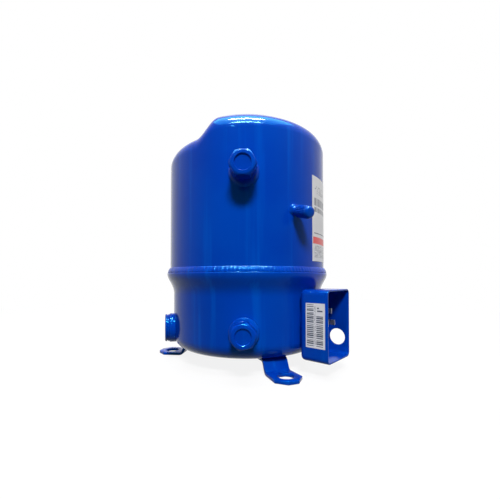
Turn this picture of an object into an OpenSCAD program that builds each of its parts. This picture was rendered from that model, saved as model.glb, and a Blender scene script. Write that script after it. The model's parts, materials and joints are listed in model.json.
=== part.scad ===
// Hermetic piston compressor: a welded two-part shell with a motor above a one-cylinder pump.
// Millimetres. Origin on the shell axis at the underside of the feet, +Z up, ports to the front (-Y).

/* [Shell] */
// Outside diameter of the upper shell
shell_d = 224; // [216:1:240]
// Step from the upper shell's radius in to the pan's
pan_step = 5; // [2:0.5:7]
// Sheet thickness of both shells
shell_wall = 4; // [3:0.5:5]
// Slip clearance between the upper shell and the belled rim
bell_gap = 0.3; // [0.1:0.1:0.6]
// Height of the pan's underside above the mounting plane
pan_z = 18.5; // [14:0.5:24]
// Outside radius between the pan's wall and floor
pan_corner = 30; // [24:1:34]
// Height of the belled rim's top
bell_z = 123; // [120:1:130]
// Straight length of the belled rim
bell_h = 6; // [5:1:10]
// Height of the taper below the belled rim
bell_taper = 20; // [16:1:22]
// Depth of the upper shell inside the belled rim
lap = 5.5; // [4:0.5:6]
// Height of the belly weld above the rim
weld_h = 6.5; // [4:0.5:8]
// Height of the rim where the low shoulder starts to round over
low_rim_z = 270; // [266:1:280]
// Knuckle radius of the low shoulder
low_knuckle = 22; // [18:1:28]
// Crown radius of the low shoulder
low_crown = 220; // [200:5:260]
// Height of the rim where the dome starts to round over
high_rim_z = 289; // [284:1:296]
// Knuckle radius of the dome
high_knuckle = 23; // [18:1:30]
// Crown radius of the dome
high_crown = 180; // [165:5:220]
// Place of the step between shoulder and dome, left of the axis
step_x = -46; // [-56:1:-36]
// Width of the step
step_w = 29; // [20:1:40]

/* [Feet] */
// Diameter of the bolt circle
foot_circle = 235; // [230:1:250]
// Direction of the front foot, to the right of the ports
foot_turn = 24; // [18:1:28]
// Width of a foot strap
foot_w = 33; // [26:1:36]
// Sheet thickness of a foot
foot_t = 4; // [3:0.5:5]
// Bolt hole diameter
foot_hole = 19; // [12:1:20]
// Width of a foot's plate beside its hole
foot_plate_w = 36; // [34:1:40]
// Reach of a foot beyond its hole
foot_tip = 18; // [16:1:24]
// Length of the clipped tip corners
foot_clip = 11.5; // [8:0.5:12]
// Distance from the axis where a foot starts under the pan
foot_root = 42; // [36:1:60]
// Distance inside the pan's wall where a foot bends down
foot_tuck = 16; // [13:1:21]
// Horizontal run of the riser between the two bends
foot_run = 7; // [4:1:10]

/* [Ports] */
// Height of the suction port
suction_z = 237; // [215:1:245]
// Reach of the suction cap's face beyond the shell
suction_out = 30; // [26:1:40]
// Height of the discharge port
discharge_z = 53; // [52:1:58]
// Reach of the discharge cap's face beyond the pan
discharge_out = 28.5; // [27:0.5:39]
// Width across flats of the port caps
cap_af = 27; // [26:0.5:30]
// Turn of the discharge cap's flats, against the clock
discharge_cap_turn = 13.5; // [0:0.5:30]
// Length of the port caps
cap_l = 19; // [17:1:22]
// Thickness of the cap's end
cap_end = 5; // [4:0.5:7]
// Diameter of the recess in the cap's face
recess_d = 17.8; // [12:0.2:20]
// Depth of the recess
recess_depth = 2; // [1:0.5:3]
// Diameter of the threaded nose that a pipe nut screws on
nose_d = 21; // [18:0.5:21.5]
// Bore of the ports
port_bore = 14; // [10:0.5:15]
// Diameter of the stub between shell and cap
stub_d = 26; // [24:0.5:28]
// Diameter of the stub's flared foot on the shell
flare_d = 34; // [31:0.5:38]
// Thickness of the sealing washers under the caps
seal_t = 1.5; // [1:0.25:2.5]

/* [Sight glass] */
// Direction of the sight glass, to the right of the ports
sight_turn = -73; // [-84:1:-64]
// Height of the sight glass above the pan's underside
sight_up = 27.5; // [24:0.5:31]
// Reach of the sight glass face beyond the pan
sight_out = 12; // [11:0.5:20]
// Outside diameter of the sight glass body
sight_d = 37.5; // [34:0.5:40]
// Thickness of the sight glass body
sight_t = 6; // [5:0.5:8]
// Diameter of the welded boss behind it
sight_boss_d = 39.5; // [36:0.5:42]
// Diameter of the lens
lens_d = 20; // [16:0.5:22]
// Thickness of the lens
lens_t = 4; // [3:0.5:5]

/* [Service valve] */
// Height of the service valve where it leaves the shell
service_z = 196; // [180:1:205]
// Direction of the service valve, to the right of the ports
service_turn = 32; // [26:1:42]
// Droop of the service valve
service_tilt = 16; // [0:1:20]
// Diameter of the service stub
service_d = 9; // [8:0.5:10]
// Diameter of the round service cap
service_cap_d = 15; // [13:0.5:17]
// Distance of the service cap's end from the shell
service_reach = 30; // [28:1:38]

/* [Terminal box] */
// Direction of the terminal box, to the right of the ports
box_turn = 50.5; // [44:0.5:56]
// Height of the box's lower edge
box_z = 18; // [16:1:22]
// Height of the box
box_h = 84; // [80:1:86]
// Width of the box
box_w = 59; // [54:1:62]
// Depth of the box
box_depth = 36.5; // [32:0.5:44]
// Gap between the pan and the back of the box
box_gap = 2; // [1.5:0.5:6]
// Sheet thickness of the box
box_wall = 2; // [1.5:0.25:2.5]
// Bend radius of the box's corners
box_corner = 6; // [4:0.5:8]
// Diameter of the cable gland hole
gland_d = 20.4; // [16:0.2:22]
// Height of the gland hole above the box's lower edge
gland_up = 22.5; // [18:0.5:40]
// Depth of the gland hole behind the open face
gland_in = 15.5; // [14:0.5:20]
// Height of the terminal above the box's lower edge
terminal_up = 48; // [44:1:52]
// Diameter of the terminal cup
terminal_d = 34; // [32:0.5:36]
// Radius of the circle of the terminal pins
pin_circle = 10; // [8:0.5:11]
// Diameter of a terminal pin
term_pin_d = 3.2; // [2.5:0.1:4]
// Depth of the terminal tabs' ends behind the open face
tab_depth = 9.5; // [6:0.5:14]
// Length of a terminal tab
tab_l = 16; // [12:1:18]
// Width of a terminal tab
tab_w = 6.3; // [4.8:0.1:6.3]
// Thickness of a terminal tab
tab_t = 0.8; // [0.5:0.1:1]

/* [Pump] */
// Height of the cylinder axis
pump_z = 76; // [75:0.5:78]
// Cylinder bore
bore_d = 52; // [50:0.5:53]
// Piston stroke
stroke = 26; // [22:1:26]
// Distance of the cylinder deck from the pan's wall
deck_gap = 26.5; // [26:0.5:28]
// Length of the cylinder
barrel_l = 41.5; // [38:0.5:42.5]
// Wall of the cylinder
barrel_wall = 7; // [6:0.5:9]
// Diameter of the cylinder head, valve plate and gaskets
head_d = 76; // [75:0.5:78]
// Circle of the head screws
head_circle = 68.4; // [67:0.2:69]
// Diameter of the head screws
head_screw_d = 4.6; // [4:0.2:5]
// Length of the piston
piston_l = 22; // [18:1:22]
// Radial clearance of the piston in its cylinder
piston_fit = 0.04; // [0.02:0.01:0.08]
// Crankpin diameter
crankpin_d = 20; // [18:1:22]
// Radial clearance of the plain bearings
bearing_fit = 0.04; // [0.02:0.01:0.08]
// Diameter of the slide block
block_d = 34; // [32:0.5:34]
// Length of the slide block
block_l = 34; // [30:1:36]
// Wall of the crosshead
crosshead_wall = 3.5; // [3:0.25:3.5]
// Thickness of the valve plate
plate_t = 5; // [4:0.5:5]
// Thickness of the gaskets
gasket_t = 0.5; // [0.4:0.1:0.8]
// Thickness of the valve rings
ring_t = 0.8; // [0.6:0.1:1]
// Lift of the valve rings
valve_lift = 0.9; // [0.6:0.1:1]

/* [Crankcase and shaft] */
// Height of the support lugs' undersides
support_z = 100; // [98:0.5:102]
// Thickness of the crankcase flange
flange_t = 10; // [8:1:11]
// Gap between the support lugs and the pan's wall
lug_gap = 6; // [5:1:9]
// Diameter of the support screws
lug_screw_d = 8; // [6:0.5:8]
// Main journal diameter
journal_d = 30; // [28:1:32]
// Wall of the main bearing bushes
bush_wall = 2.5; // [2:0.5:3]
// Length of each bush
bush_l = 22; // [16:1:24]
// Height of the main bearing's top
bearing_z = 168; // [160:1:170]
// Radius of the counterweight
weight_r = 41; // [36:1:42]

/* [Motor] */
// Height of the stator's underside
stator_z = 185; // [182:1:190]
// Height of the lamination stacks
stack_h = 78; // [70:1:80]
// Gap between the stator and the shell
motor_gap = 28; // [26:1:30]
// Rotor diameter
rotor_d = 84; // [78:1:86]
// Radial air gap
air_gap = 0.5; // [0.4:0.1:0.8]
// Number of stator slots
slots = 24; // [18:6:24]
// Number of rotor bars
bars = 16; // [12:2:20]
// Height of the winding's end turns
turn_h = 22; // [18:1:24]
// Distance of the stator screws from the stator's edge
stator_edge = 7; // [6:0.5:8]
// Stator screw diameter
stator_screw_d = 6; // [5:0.5:6.5]

/* [Hidden] */
$fn = 96;
// Clearance of pieces that are welded, brazed or pressed together
weld_fit = 0.1;
// Clearance between pieces that can part
loose_fit = 0.3;
// Overlap that makes a cut go right through
cut = 1;

shell_r = shell_d / 2;
pan_r = shell_r - pan_step;
shell_in = shell_r - shell_wall;
pan_in = pan_r - shell_wall;
pan_floor = pan_z + shell_wall;
sight_z = pan_z + sight_up;
spigot_d = lens_d + 8;
bell_in = shell_r + bell_gap;
bell_r = bell_in + shell_wall;
taper_top = bell_z - bell_h;
taper_foot = taper_top - bell_taper;
lap_z = bell_z - lap;
cap_join_z = low_rim_z - 8;
foot_r = foot_circle / 2;
foot_bend = pan_r - foot_tuck;
foot_turns = [foot_turn, foot_turn - 120, foot_turn + 120];

suction_reach = shell_r + suction_out;
discharge_reach = pan_r + discharge_out;
sight_reach = pan_r + sight_out;
nose_l = cap_l - cap_end - seal_t - 2 * loose_fit;
box_back = pan_r + box_gap;
box_reach = box_back + box_depth;
tab_reach = box_reach - tab_depth;
stator_r = shell_in - motor_gap;
stator_circle = 2 * (stator_r - stator_edge);
flange_d = 2 * stator_r;
// Motor leads rise just outside the crankcase flange
lead_r = 1.6;
lead_bend = 5;
lead_rise_r = flange_d / 2 + lead_r + 1;
lead_at = lead_rise_r + lead_bend;
terminal_z = box_z + terminal_up;
term_in = pan_in - 6;
term_out = pan_r + 2;
plug_in = lead_at + 1;
pin_in = plug_in + 3;

bore_r = bore_d / 2;
deck_y = pan_in - deck_gap;
mouth_y = deck_y - barrel_l;
crank_r = stroke / 2;
crankpin_r = crankpin_d / 2;
block_r = block_d / 2;
crosshead_in = block_r + bearing_fit;
crosshead_r = crosshead_in + crosshead_wall;
crosshead_l = block_l + stroke + 6;
crown_y = deck_y - gasket_t;
piston_y = crown_y - piston_l;
barrel_r = bore_r + barrel_wall;
plate_y = deck_y + gasket_t;
plate_top = plate_y + plate_t;
head_y = plate_top + gasket_t;
head_r = head_d / 2;
head_rim = 8.5;
head_boss = 13;
head_screws_n = 6;
// Suction ring lies outside the bore, in a step of the cylinder's deck
suction_ring_in = bore_r + 0.6;
suction_ring_out = suction_ring_in + 3.4;
suction_port_r = (suction_ring_in + suction_ring_out) / 2;
discharge_ring_in = 9;
discharge_ring_out = 15;
discharge_port_r = (discharge_ring_in + discharge_ring_out) / 2;
stop_r = discharge_ring_out + 1;
stop_post_r = 5;
stop_gap = ring_t + valve_lift + loose_fit;
stop_t = 2;
chamber_r = stop_r + 4;
groove_in = chamber_r + 5;
groove_out = groove_in + 6;
groove_depth = 6;

web_z = pump_z + crosshead_r + 0.7;
web_r = crank_r + crankpin_r + 1.5;
journal_r = journal_d / 2;
flange_top = support_z + flange_t;
weight_z = pump_z + bore_r + 1;
web_top = max(flange_top + 2, weight_z + 8);
washer_t = 1.2;
bearing_foot = web_top + washer_t;
housing_r = journal_r + bearing_fit + bush_wall;
tower_r = housing_r + 6.5;
cup_in = weight_r + 3;
cup_r = cup_in + 6;
cup_top = bearing_foot + 8;
crankpin_foot = pump_z - crosshead_r - 1.5;
plug_y = crank_r / 2;
plug_r = 2.5;
plug_l = 6;
pickup_y = crank_r + 3.5;
pickup_r = 3;
pickup_foot = pan_floor + 8;
seat_r = journal_r - 1;
shaft_top = stator_z + stack_h + 14;
lug_turns = [110, 240, 325];
lug_w = 24;
lug_reach = pan_in - lug_gap;
lug_screw_r = lug_screw_d / 2;
lug_screw_at = pan_in - 13;
bracket_foot = 72;
leg_r = stator_edge - 0.6;
pad_h = 0.5;
leg_turns = [20, 110, 200, 290];

rotor_r = rotor_d / 2;
stator_in = rotor_r + air_gap;
stack_top = stator_z + stack_h;
slot_in = stator_in + 4;
slot_out = stator_circle / 2 - 10;
slot_w = 5;
turn_in = slot_in;
turn_out = slot_out + 2;
bar_r = 2.2;
bar_circle_r = rotor_r - 5;
ring_h = 8;
lead_top = stator_z - 12;

muffler_r = 14;
muffler_at = pan_in - pan_corner + shell_wall - muffler_r - 1;
muffler_h = 42;
muffler_wall = 2;
outlet_r = 4;
outlet_y = head_y + 6;
outlet_z = pan_floor + 8.5;
outlet_bend = 8;
intake_r = 4;
intake_y = head_y + 4.25;
intake_top = 150;

// Puts a piece on a radial axis: local +Z points away from the shell axis, local +Y up.
// turn is counted from the front towards the right.
module radial(turn, z) translate([0, 0, z]) rotate([90, 0, turn]) children();

// Puts a piece in a direction from the axis: local +X points away from the axis.
module spoke(turn) rotate([0, 0, turn - 90]) children();

// Puts a piece on the cylinder axis: local +Z points along +Y, away from the crank.
module along_bore(y) translate([0, y, pump_z]) rotate([-90, 0, 0]) children();

// Ring standing on the local base plane
module tube(r_out, r_in, h) difference() {
    cylinder(r = r_out, h = h);
    translate([0, 0, -cut]) cylinder(r = r_in, h = h + 2 * cut);
}

// Solid that fills the shell's cylinder out to a radius
module core(r) translate([0, 0, -cut]) cylinder(r = r, h = high_rim_z + high_crown);

// Half section of the pan's outline or cavity: a can with a rounded foot
module can_section(r, z0, z1, corner) {
    translate([0, z0]) square([r - corner, z1 - z0]);
    translate([0, z0 + corner]) square([r, z1 - z0 - corner]);
    intersection() {
        translate([r - corner, z0 + corner]) circle(r = corner);
        translate([0, z0]) square([r, 2 * corner]);
    }
}

// Solid of the pan's outside, grown by a clearance
module pan_form(grow) rotate_extrude()
    can_section(pan_r + grow, pan_z - grow, taper_foot + cut, pan_corner + grow);

// Half section of the flare from the pan to the belled rim: two equal arcs back to back
function flare(r0, r1, z0, z1, steps) = [for (i = [0 : steps])
    let (t = i / steps) [r0 + (r1 - r0) * (1 - cos(180 * t)) / 2, z0 + (z1 - z0) * t]];

// Height of a dished end above the mounting plane at a distance from the axis
function dish_z(r, big_r, rim, knuckle, crown) =
    let (k = big_r - knuckle, centre = rim - sqrt(pow(crown - knuckle, 2) - k * k))
    r < k * crown / (crown - knuckle)
        ? centre + sqrt(crown * crown - r * r)
        : rim + sqrt(max(0, knuckle * knuckle - pow(r - k, 2)));

// Share of the dome over the low shoulder, eased across the step
function dome_share(x) = let (s = min(1, max(0, (x - step_x) / step_w + 0.5))) s * s * (3 - 2 * s);

// Height of the stepped top, drawn in by the sheet thickness for the inside
function top_z(x, r, inset) = let (w = dome_share(x))
    (1 - w) * dish_z(r, shell_r - inset, low_rim_z, low_knuckle - inset, low_crown - inset)
    + w * dish_z(r, shell_r - inset, high_rim_z, high_knuckle - inset, high_crown - inset);

// The pressed top stands on the turned wall, a hair inside both of its faces
top_sides = 72;
top_rows = 13;
top_step = 0.1;
top_root_z = cap_join_z - cut;
function row_r(i, inset) = (shell_r - inset) * (1 - pow(i / top_rows, 2));
function top_skin(inset) = concat(
    [for (a = [0 : top_sides - 1]) let (t = 360 * a / top_sides)
        [(shell_r - inset) * cos(t), (shell_r - inset) * sin(t), top_root_z]],
    [for (i = [0 : top_rows - 1]) for (a = [0 : top_sides - 1])
        let (t = 360 * a / top_sides, r = row_r(i, inset))
        [r * cos(t), r * sin(t), top_z(r * cos(t), r, inset)]],
    [[0, 0, top_z(0, 0, inset)]]);

// Triangles of one skin, with flip set for the inside
function skin_faces(first, flip) = let (n = top_sides, apex = first + n * (top_rows + 1)) concat(
    [for (i = [0 : top_rows - 1]) for (a = [0 : n - 1])
        let (p = first + i * n + a, q = first + i * n + (a + 1) % n)
        each flip ? [[p, q, q + n], [p, q + n, p + n]] : [[p, q + n, q], [p, p + n, q + n]]],
    [for (a = [0 : n - 1]) let (p = apex - n + a, q = apex - n + (a + 1) % n)
        flip ? [p, q, apex] : [p, apex, q]]);
skin_size = top_sides * (top_rows + 1) + 1;
rim_faces = [for (a = [0 : top_sides - 1]) let (b = (a + 1) % top_sides)
    each [[a, b, b + skin_size], [a, b + skin_size, a + skin_size]]];

module upper_shell() color("mediumblue") difference() {
    union() {
        translate([0, 0, lap_z]) tube(shell_r, shell_in, cap_join_z - lap_z);
        polyhedron(concat(top_skin(top_step), top_skin(shell_wall - 2 * top_step)),
            concat(skin_faces(0, false), skin_faces(skin_size, true), rim_faces), convexity = 6);
    }
    radial(0, suction_z) cylinder(r = stub_d / 2 + weld_fit, h = suction_reach);
    service_axis() translate([0, 0, -3 * shell_wall]) cylinder(r = service_d / 2 + weld_fit, h = 6 * shell_wall);
}

module lower_shell() color("mediumblue") difference() {
    rotate_extrude() difference() {
        union() {
            can_section(pan_r, pan_z, taper_foot + cut, pan_corner);
            polygon(concat([[0, taper_foot]], flare(pan_r, bell_r, taper_foot, taper_top, 12),
                [[bell_r, bell_z], [0, bell_z]]));
        }
        can_section(pan_in, pan_floor, taper_foot + cut, pan_corner - shell_wall);
        polygon(concat([[0, taper_foot]], flare(pan_in, bell_in, taper_foot, taper_top, 12),
            [[bell_in, bell_z + cut], [0, bell_z + cut]]));
    }
    radial(0, discharge_z) cylinder(r = stub_d / 2 + weld_fit, h = discharge_reach);
    radial(sight_turn, sight_z) cylinder(r = spigot_d / 2 + weld_fit, h = sight_reach);
    radial(box_turn, terminal_z) cylinder(r = terminal_d / 2 + weld_fit, h = box_reach);
}

// Convex bead that fills the corner between the belled rim and the upper shell
module belly_weld() color("royalblue") rotate_extrude()
    polygon(concat([[shell_r + weld_fit, bell_z + weld_fit]],
        [for (i = [0 : 6]) let (a = 90 * i / 6)
            [shell_r + weld_fit + (bell_r - shell_r - weld_fit) * cos(a), bell_z + weld_fit + weld_h * sin(a)]]));

// Strap that lies under the pan, bends down and ends in a plate with clipped corners
module foot(turn) {
    rise = pan_z - foot_t;
    mitre = foot_t * tan(atan2(rise, foot_run) / 2);
    toe = foot_r + foot_tip;
    heel = foot_bend + foot_run;
    side = [[foot_root - cut, foot_w / 2], [heel, foot_w / 2], [toe - foot_clip, foot_plate_w / 2],
        [toe + cut, foot_plate_w / 2 - foot_clip - cut]];
    color("mediumblue") spoke(turn) difference() {
        intersection() {
            rotate([90, 0, 0]) translate([0, 0, -foot_plate_w]) linear_extrude(2 * foot_plate_w)
                polygon([[foot_root, pan_z], [foot_bend, pan_z], [heel, foot_t], [toe, foot_t], [toe, 0],
                    [heel - mitre, 0], [foot_bend - mitre, rise], [foot_root, rise]]);
            translate([0, 0, -cut]) linear_extrude(pan_z + 2 * cut)
                polygon(concat(side, [for (i = [3 : -1 : 0]) [side[i][0], -side[i][1]]]));
        }
        translate([foot_r, 0, -cut]) cylinder(d = foot_hole, h = foot_t + 2 * cut);
    }
}
module front_foot() foot(foot_turns[0]);
module left_foot() foot(foot_turns[1]);
module rear_foot() foot(foot_turns[2]);

// Port stub: flared foot on the shell, plain body and a nose for the nut, bored through.
// The first child is the solid of the shell that the flare is coped to.
module port_stub(z, reach, wall_r, root) {
    shoulder = reach - cap_l - loose_fit;
    color("mediumblue") difference() {
        union() {
            radial(0, z) translate([0, 0, root]) cylinder(d = stub_d, h = shoulder - root);
            radial(0, z) translate([0, 0, shoulder - cut]) cylinder(d = nose_d, h = nose_l + cut);
            difference() {
                radial(0, z) translate([0, 0, wall_r - 8]) cylinder(d1 = flare_d, d2 = stub_d, h = shoulder - wall_r + 8);
                children(0);
            }
        }
        radial(0, z) translate([0, 0, root - cut]) cylinder(d = port_bore, h = reach);
    }
}

module port_seal(z, reach) color("dimgray") radial(0, z)
    translate([0, 0, reach - cap_l - loose_fit + nose_l]) tube(nose_d / 2 - 0.5, port_bore / 2, seal_t);

// Hexagonal cap with chamfered corners, a round recess in its face and a blind bore behind
module port_cap(z, reach, turn) {
    corner_r = cap_af / 2 / cos(30);
    color("mediumblue") radial(0, z) translate([0, 0, reach - cap_l]) difference() {
        intersection() {
            rotate(turn) cylinder(r = corner_r, h = cap_l, $fn = 6);
            union() {
                cylinder(r = corner_r + cut, h = cap_l - 3);
                translate([0, 0, cap_l - 3 - 0.01]) cylinder(r1 = corner_r + cut, r2 = cap_af / 2 - 0.3, h = 3.01);
            }
        }
        translate([0, 0, cap_l - recess_depth]) cylinder(d = recess_d, h = recess_depth + cut);
        translate([0, 0, -cut]) cylinder(d = nose_d + 4 * loose_fit, h = cap_l - cap_end + cut);
    }
}

module suction_stub() port_stub(suction_z, suction_reach, shell_r, shell_in - 6) core(shell_r + weld_fit);
module suction_seal() port_seal(suction_z, suction_reach);
module suction_cap() port_cap(suction_z, suction_reach, 0);
module discharge_stub() port_stub(discharge_z, discharge_reach, pan_r, pan_in - 6) pan_form(weld_fit);
module discharge_seal() port_seal(discharge_z, discharge_reach);
module discharge_cap() port_cap(discharge_z, discharge_reach, discharge_cap_turn);

// Sight glass: welded boss with the lens and its seal in a seat, held by a ring in front
sight_seat = sight_reach - sight_t;
seal_h = 1.5;
module sight_boss() color("mediumblue") difference() {
    union() {
        radial(sight_turn, sight_z) translate([0, 0, pan_in - 4]) cylinder(d = spigot_d, h = sight_seat - pan_in + 4);
        difference() {
            radial(sight_turn, sight_z) translate([0, 0, pan_r - pan_corner])
                cylinder(d = sight_boss_d, h = sight_seat - pan_r + pan_corner);
            pan_form(weld_fit);
        }
    }
    radial(sight_turn, sight_z) cylinder(d = lens_d - 4, h = sight_reach);
    radial(sight_turn, sight_z) translate([0, 0, sight_seat - lens_t - seal_h])
        cylinder(d = lens_d + 2 * weld_fit, h = sight_reach);
}
module sight_body() color("steelblue") radial(sight_turn, sight_z)
    translate([0, 0, sight_seat]) tube(sight_d / 2, lens_d / 2 - 1.5, sight_t);
module sight_seal() color("black") radial(sight_turn, sight_z)
    translate([0, 0, sight_seat - lens_t - seal_h]) tube(lens_d / 2, lens_d / 2 - 1.5, seal_h);
module sight_lens() color("lightcyan") radial(sight_turn, sight_z)
    translate([0, 0, sight_seat - lens_t]) cylinder(d = lens_d, h = lens_t);

// Service valve: a drooping stub, a brazed valve body with a sprung core, and a round cap
module service_axis() radial(service_turn, service_z) translate([0, 0, shell_r]) rotate([service_tilt, 0, 0])
    children();
service_body_l = 12;
service_body_at = service_reach - 4 - service_body_l;
module service_stub() color("mediumblue") service_axis()
    translate([0, 0, -shell_wall - 3]) tube(service_d / 2, service_d / 2 - 1.5, service_body_at + shell_wall + 3);
module service_body() color("goldenrod") service_axis() translate([0, 0, service_body_at]) difference() {
    cylinder(d = service_d, h = service_body_l);
    translate([0, 0, -cut]) cylinder(r = 1.6, h = service_body_l + 2 * cut);
    translate([0, 0, -cut]) cylinder(r = 2.6, h = 4 + cut);
}
module service_core() color("silver") service_axis() translate([0, 0, service_body_at]) {
    translate([0, 0, 2]) cylinder(r = 1.2, h = service_body_l - 2.5);
    translate([0, 0, 1.5]) cylinder(r = 2.3, h = 1.5);
}
module service_cap() color("mediumblue") service_axis() translate([0, 0, service_body_at - 5]) difference() {
    union() {
        cylinder(d = service_cap_d, h = service_reach - service_body_at + 3);
        cylinder(d = service_cap_d - 2, h = service_reach - service_body_at + 5);
    }
    translate([0, 0, -cut]) cylinder(r = service_d / 2 + loose_fit, h = 5 + service_body_l + loose_fit + cut);
}

// Terminal box in its own axes: X along the shell, Y up, Z outwards
module box_axis() radial(box_turn, box_z + box_h / 2) children();
module box_block(inset, back, front) hull() {
    r = max(0.5, box_corner - inset);
    for (sx = [-1, 1], sy = [-1, 1])
        translate([sx * (box_w / 2 - box_corner), sy * (box_h / 2 - box_corner), 0]) {
            translate([0, 0, back + r]) sphere(r = r, $fn = 32);
            translate([0, 0, front - 1]) cylinder(r = r, h = 1, $fn = 32);
        }
}
module terminal_box() color("mediumblue") box_axis() difference() {
    box_block(0, box_back, box_reach);
    box_block(box_wall, box_back + box_wall, box_reach + cut);
    translate([0, terminal_up - box_h / 2, box_back - cut])
        cylinder(d = terminal_d + 1, h = box_wall + 2 * cut);
    translate([0, gland_up - box_h / 2, box_reach - gland_in]) rotate([0, 90, 0]) cylinder(d = gland_d, h = box_w);
}
module terminal_collar() color("mediumblue") difference() {
    radial(box_turn, terminal_z) translate([0, 0, pan_r - 8])
        tube(terminal_d / 2 + 5, terminal_d / 2 + 0.5, box_back - pan_r + 8);
    core(pan_r + weld_fit, $fn = 288);
}

// Sealed terminal: steel cup in the wall, three pins in glass beads, plug on the inside
function pin_place(i) = [pin_circle * sin(120 * i), pin_circle * cos(120 * i), 0];
bead_r = term_pin_d / 2 + 2;
module terminal_cup() color("gray") radial(box_turn, terminal_z) difference() {
    translate([0, 0, term_in]) cylinder(d = terminal_d, h = term_out - term_in);
    translate([0, 0, term_in + 4]) cylinder(d = terminal_d - 4, h = term_out);
    for (i = [0 : 2]) translate(pin_place(i)) translate([0, 0, term_in - cut])
        cylinder(r = bead_r + weld_fit, h = 4 + 2 * cut);
}
module terminal_beads() color("seagreen") radial(box_turn, terminal_z)
    for (i = [0 : 2]) translate(pin_place(i)) translate([0, 0, term_in])
        tube(bead_r, term_pin_d / 2 + weld_fit, 5);
module terminal_pins() color("silver") radial(box_turn, terminal_z)
    for (i = [0 : 2]) translate(pin_place(i)) {
        translate([0, 0, pin_in]) cylinder(d = term_pin_d, h = tab_reach - tab_l + 2 - pin_in);
        translate([-tab_t / 2, -tab_w / 2, tab_reach - tab_l]) cube([tab_t, tab_w, tab_l]);
    }
module terminal_plug() color("ivory") radial(box_turn, terminal_z) difference() {
    translate([0, 0, plug_in]) cylinder(r = pin_circle + 5, h = term_in - plug_in - loose_fit);
    for (i = [0 : 2]) translate(pin_place(i)) translate([0, 0, pin_in - weld_fit])
        cylinder(d = term_pin_d + 2 * weld_fit, h = term_in);
}

// Bent tube in the plane of local X (inwards) and Y (up): straight, bend, rise, bend, straight
module lead() {
    rise = lead_top - terminal_z - 2 * lead_bend;
    run = lead_at - lead_bend - lead_bend - turn_out - loose_fit;
    translate([lead_at, 0, 0]) rotate([0, 90, 0]) cylinder(r = lead_r, h = plug_in - weld_fit - lead_at);
    translate([lead_at, 0, lead_bend]) rotate([90, 0, 0]) rotate_extrude(angle = -90, start = 270)
        translate([lead_bend, 0]) circle(r = lead_r);
    translate([lead_at - lead_bend, 0, lead_bend]) cylinder(r = lead_r, h = rise);
    translate([lead_at - 2 * lead_bend, 0, lead_bend + rise]) rotate([90, 0, 0]) rotate_extrude(angle = 90)
        translate([lead_bend, 0]) circle(r = lead_r);
    translate([lead_at - 2 * lead_bend - run, 0, 2 * lead_bend + rise]) rotate([0, 90, 0])
        cylinder(r = lead_r, h = run);
}
module motor_leads() color("firebrick") spoke(box_turn)
    for (i = [-1 : 1]) translate([0, 6 * i, terminal_z]) lead();

// Crankcase supports: gussets on the pan's wall with screws down through the lugs
module support_brackets() color("slategray") intersection() {
    core(pan_in - weld_fit);
    for (turn = lug_turns) spoke(turn) difference() {
        rotate([90, 0, 0]) translate([0, 0, -lug_w / 2]) linear_extrude(lug_w)
            polygon([[lug_screw_at - 8, support_z], [pan_r, support_z], [pan_r, bracket_foot],
                [pan_in - 5, bracket_foot], [pan_in - 7, support_z - 7], [lug_screw_at - 8, support_z - 6]]);
        translate([lug_screw_at, 0, support_z - 12]) cylinder(r = lug_screw_r + weld_fit, h = 14);
    }
}
module support_screws() color("silver") for (turn = lug_turns) spoke(turn) translate([lug_screw_at, 0, 0]) {
    translate([0, 0, support_z - 9]) cylinder(r = lug_screw_r, h = flange_t + 9 + 0.5);
    translate([0, 0, flange_top]) cylinder(r = lug_screw_r + 3, h = 5, $fn = 6);
}

// Crankcase casting: flange with three machined lugs, inverted cup, bearing tower, stator legs and cylinder
module crankcase() color("dimgray") difference() {
    union() {
        translate([0, 0, support_z + pad_h]) cylinder(d = flange_d, h = flange_t - 2 * pad_h);
        for (turn = lug_turns) spoke(turn)
            translate([flange_d / 2 - 12, -lug_w / 2, support_z]) cube([lug_reach - flange_d / 2 + 12, lug_w, flange_t]);
        translate([0, 0, support_z + 2]) cylinder(r = cup_r, h = cup_top - support_z - 2);
        translate([0, 0, bearing_foot]) cylinder(r = tower_r, h = bearing_z - bearing_foot);
        for (turn = leg_turns) spoke(turn) {
            translate([stator_circle / 2, 0, support_z + 2]) cylinder(r = leg_r, h = stator_z - support_z - 2);
            translate([cup_r - 2, -3, flange_top - cut]) cube([stator_circle / 2 - cup_r, 6, cup_top - flange_top]);
        }
        along_bore(mouth_y) cylinder(r = barrel_r, h = deck_y - mouth_y);
        along_bore(deck_y - 9) cylinder(r = head_r, h = 9);
    }
    along_bore(0) cylinder(r = bore_r, h = deck_y + cut);
    along_bore(deck_y) cylinder(r = head_r + cut, h = flange_d);
    along_bore(deck_y - ring_t - valve_lift - loose_fit)
        cylinder(r = suction_ring_out + loose_fit, h = ring_t + valve_lift + loose_fit + cut);
    along_bore(deck_y - 20) head_holes(head_screw_d / 2 + weld_fit, 21);
    translate([0, 0, weight_z - 4]) cylinder(r = cup_in, h = bearing_foot - weight_z + 4);
    cylinder(r = housing_r + weld_fit, h = bearing_z + cut);
    for (turn = lug_turns) spoke(turn) translate([lug_screw_at, 0, support_z - cut])
        cylinder(r = lug_screw_r + weld_fit, h = flange_t + 2 * cut);
    for (turn = leg_turns) spoke(turn) translate([stator_circle / 2, 0, stator_z - 22])
        cylinder(d = stator_screw_d + 2 * weld_fit, h = 22 + cut);
}
module head_holes(r, h) for (i = [0 : head_screws_n - 1]) rotate(60 * i)
    translate([head_circle / 2, 0, 0]) cylinder(r = r, h = h);

module lower_bush() color("peru") translate([0, 0, bearing_foot])
    tube(housing_r, journal_r + bearing_fit, bush_l);
module upper_bush() color("peru") translate([0, 0, bearing_z - bush_l])
    tube(housing_r, journal_r + bearing_fit, bush_l);
module thrust_washer() color("darkgoldenrod") translate([0, 0, web_top + bearing_fit])
    tube(journal_r + 6, journal_r + bearing_fit, washer_t - bearing_fit);

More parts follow.
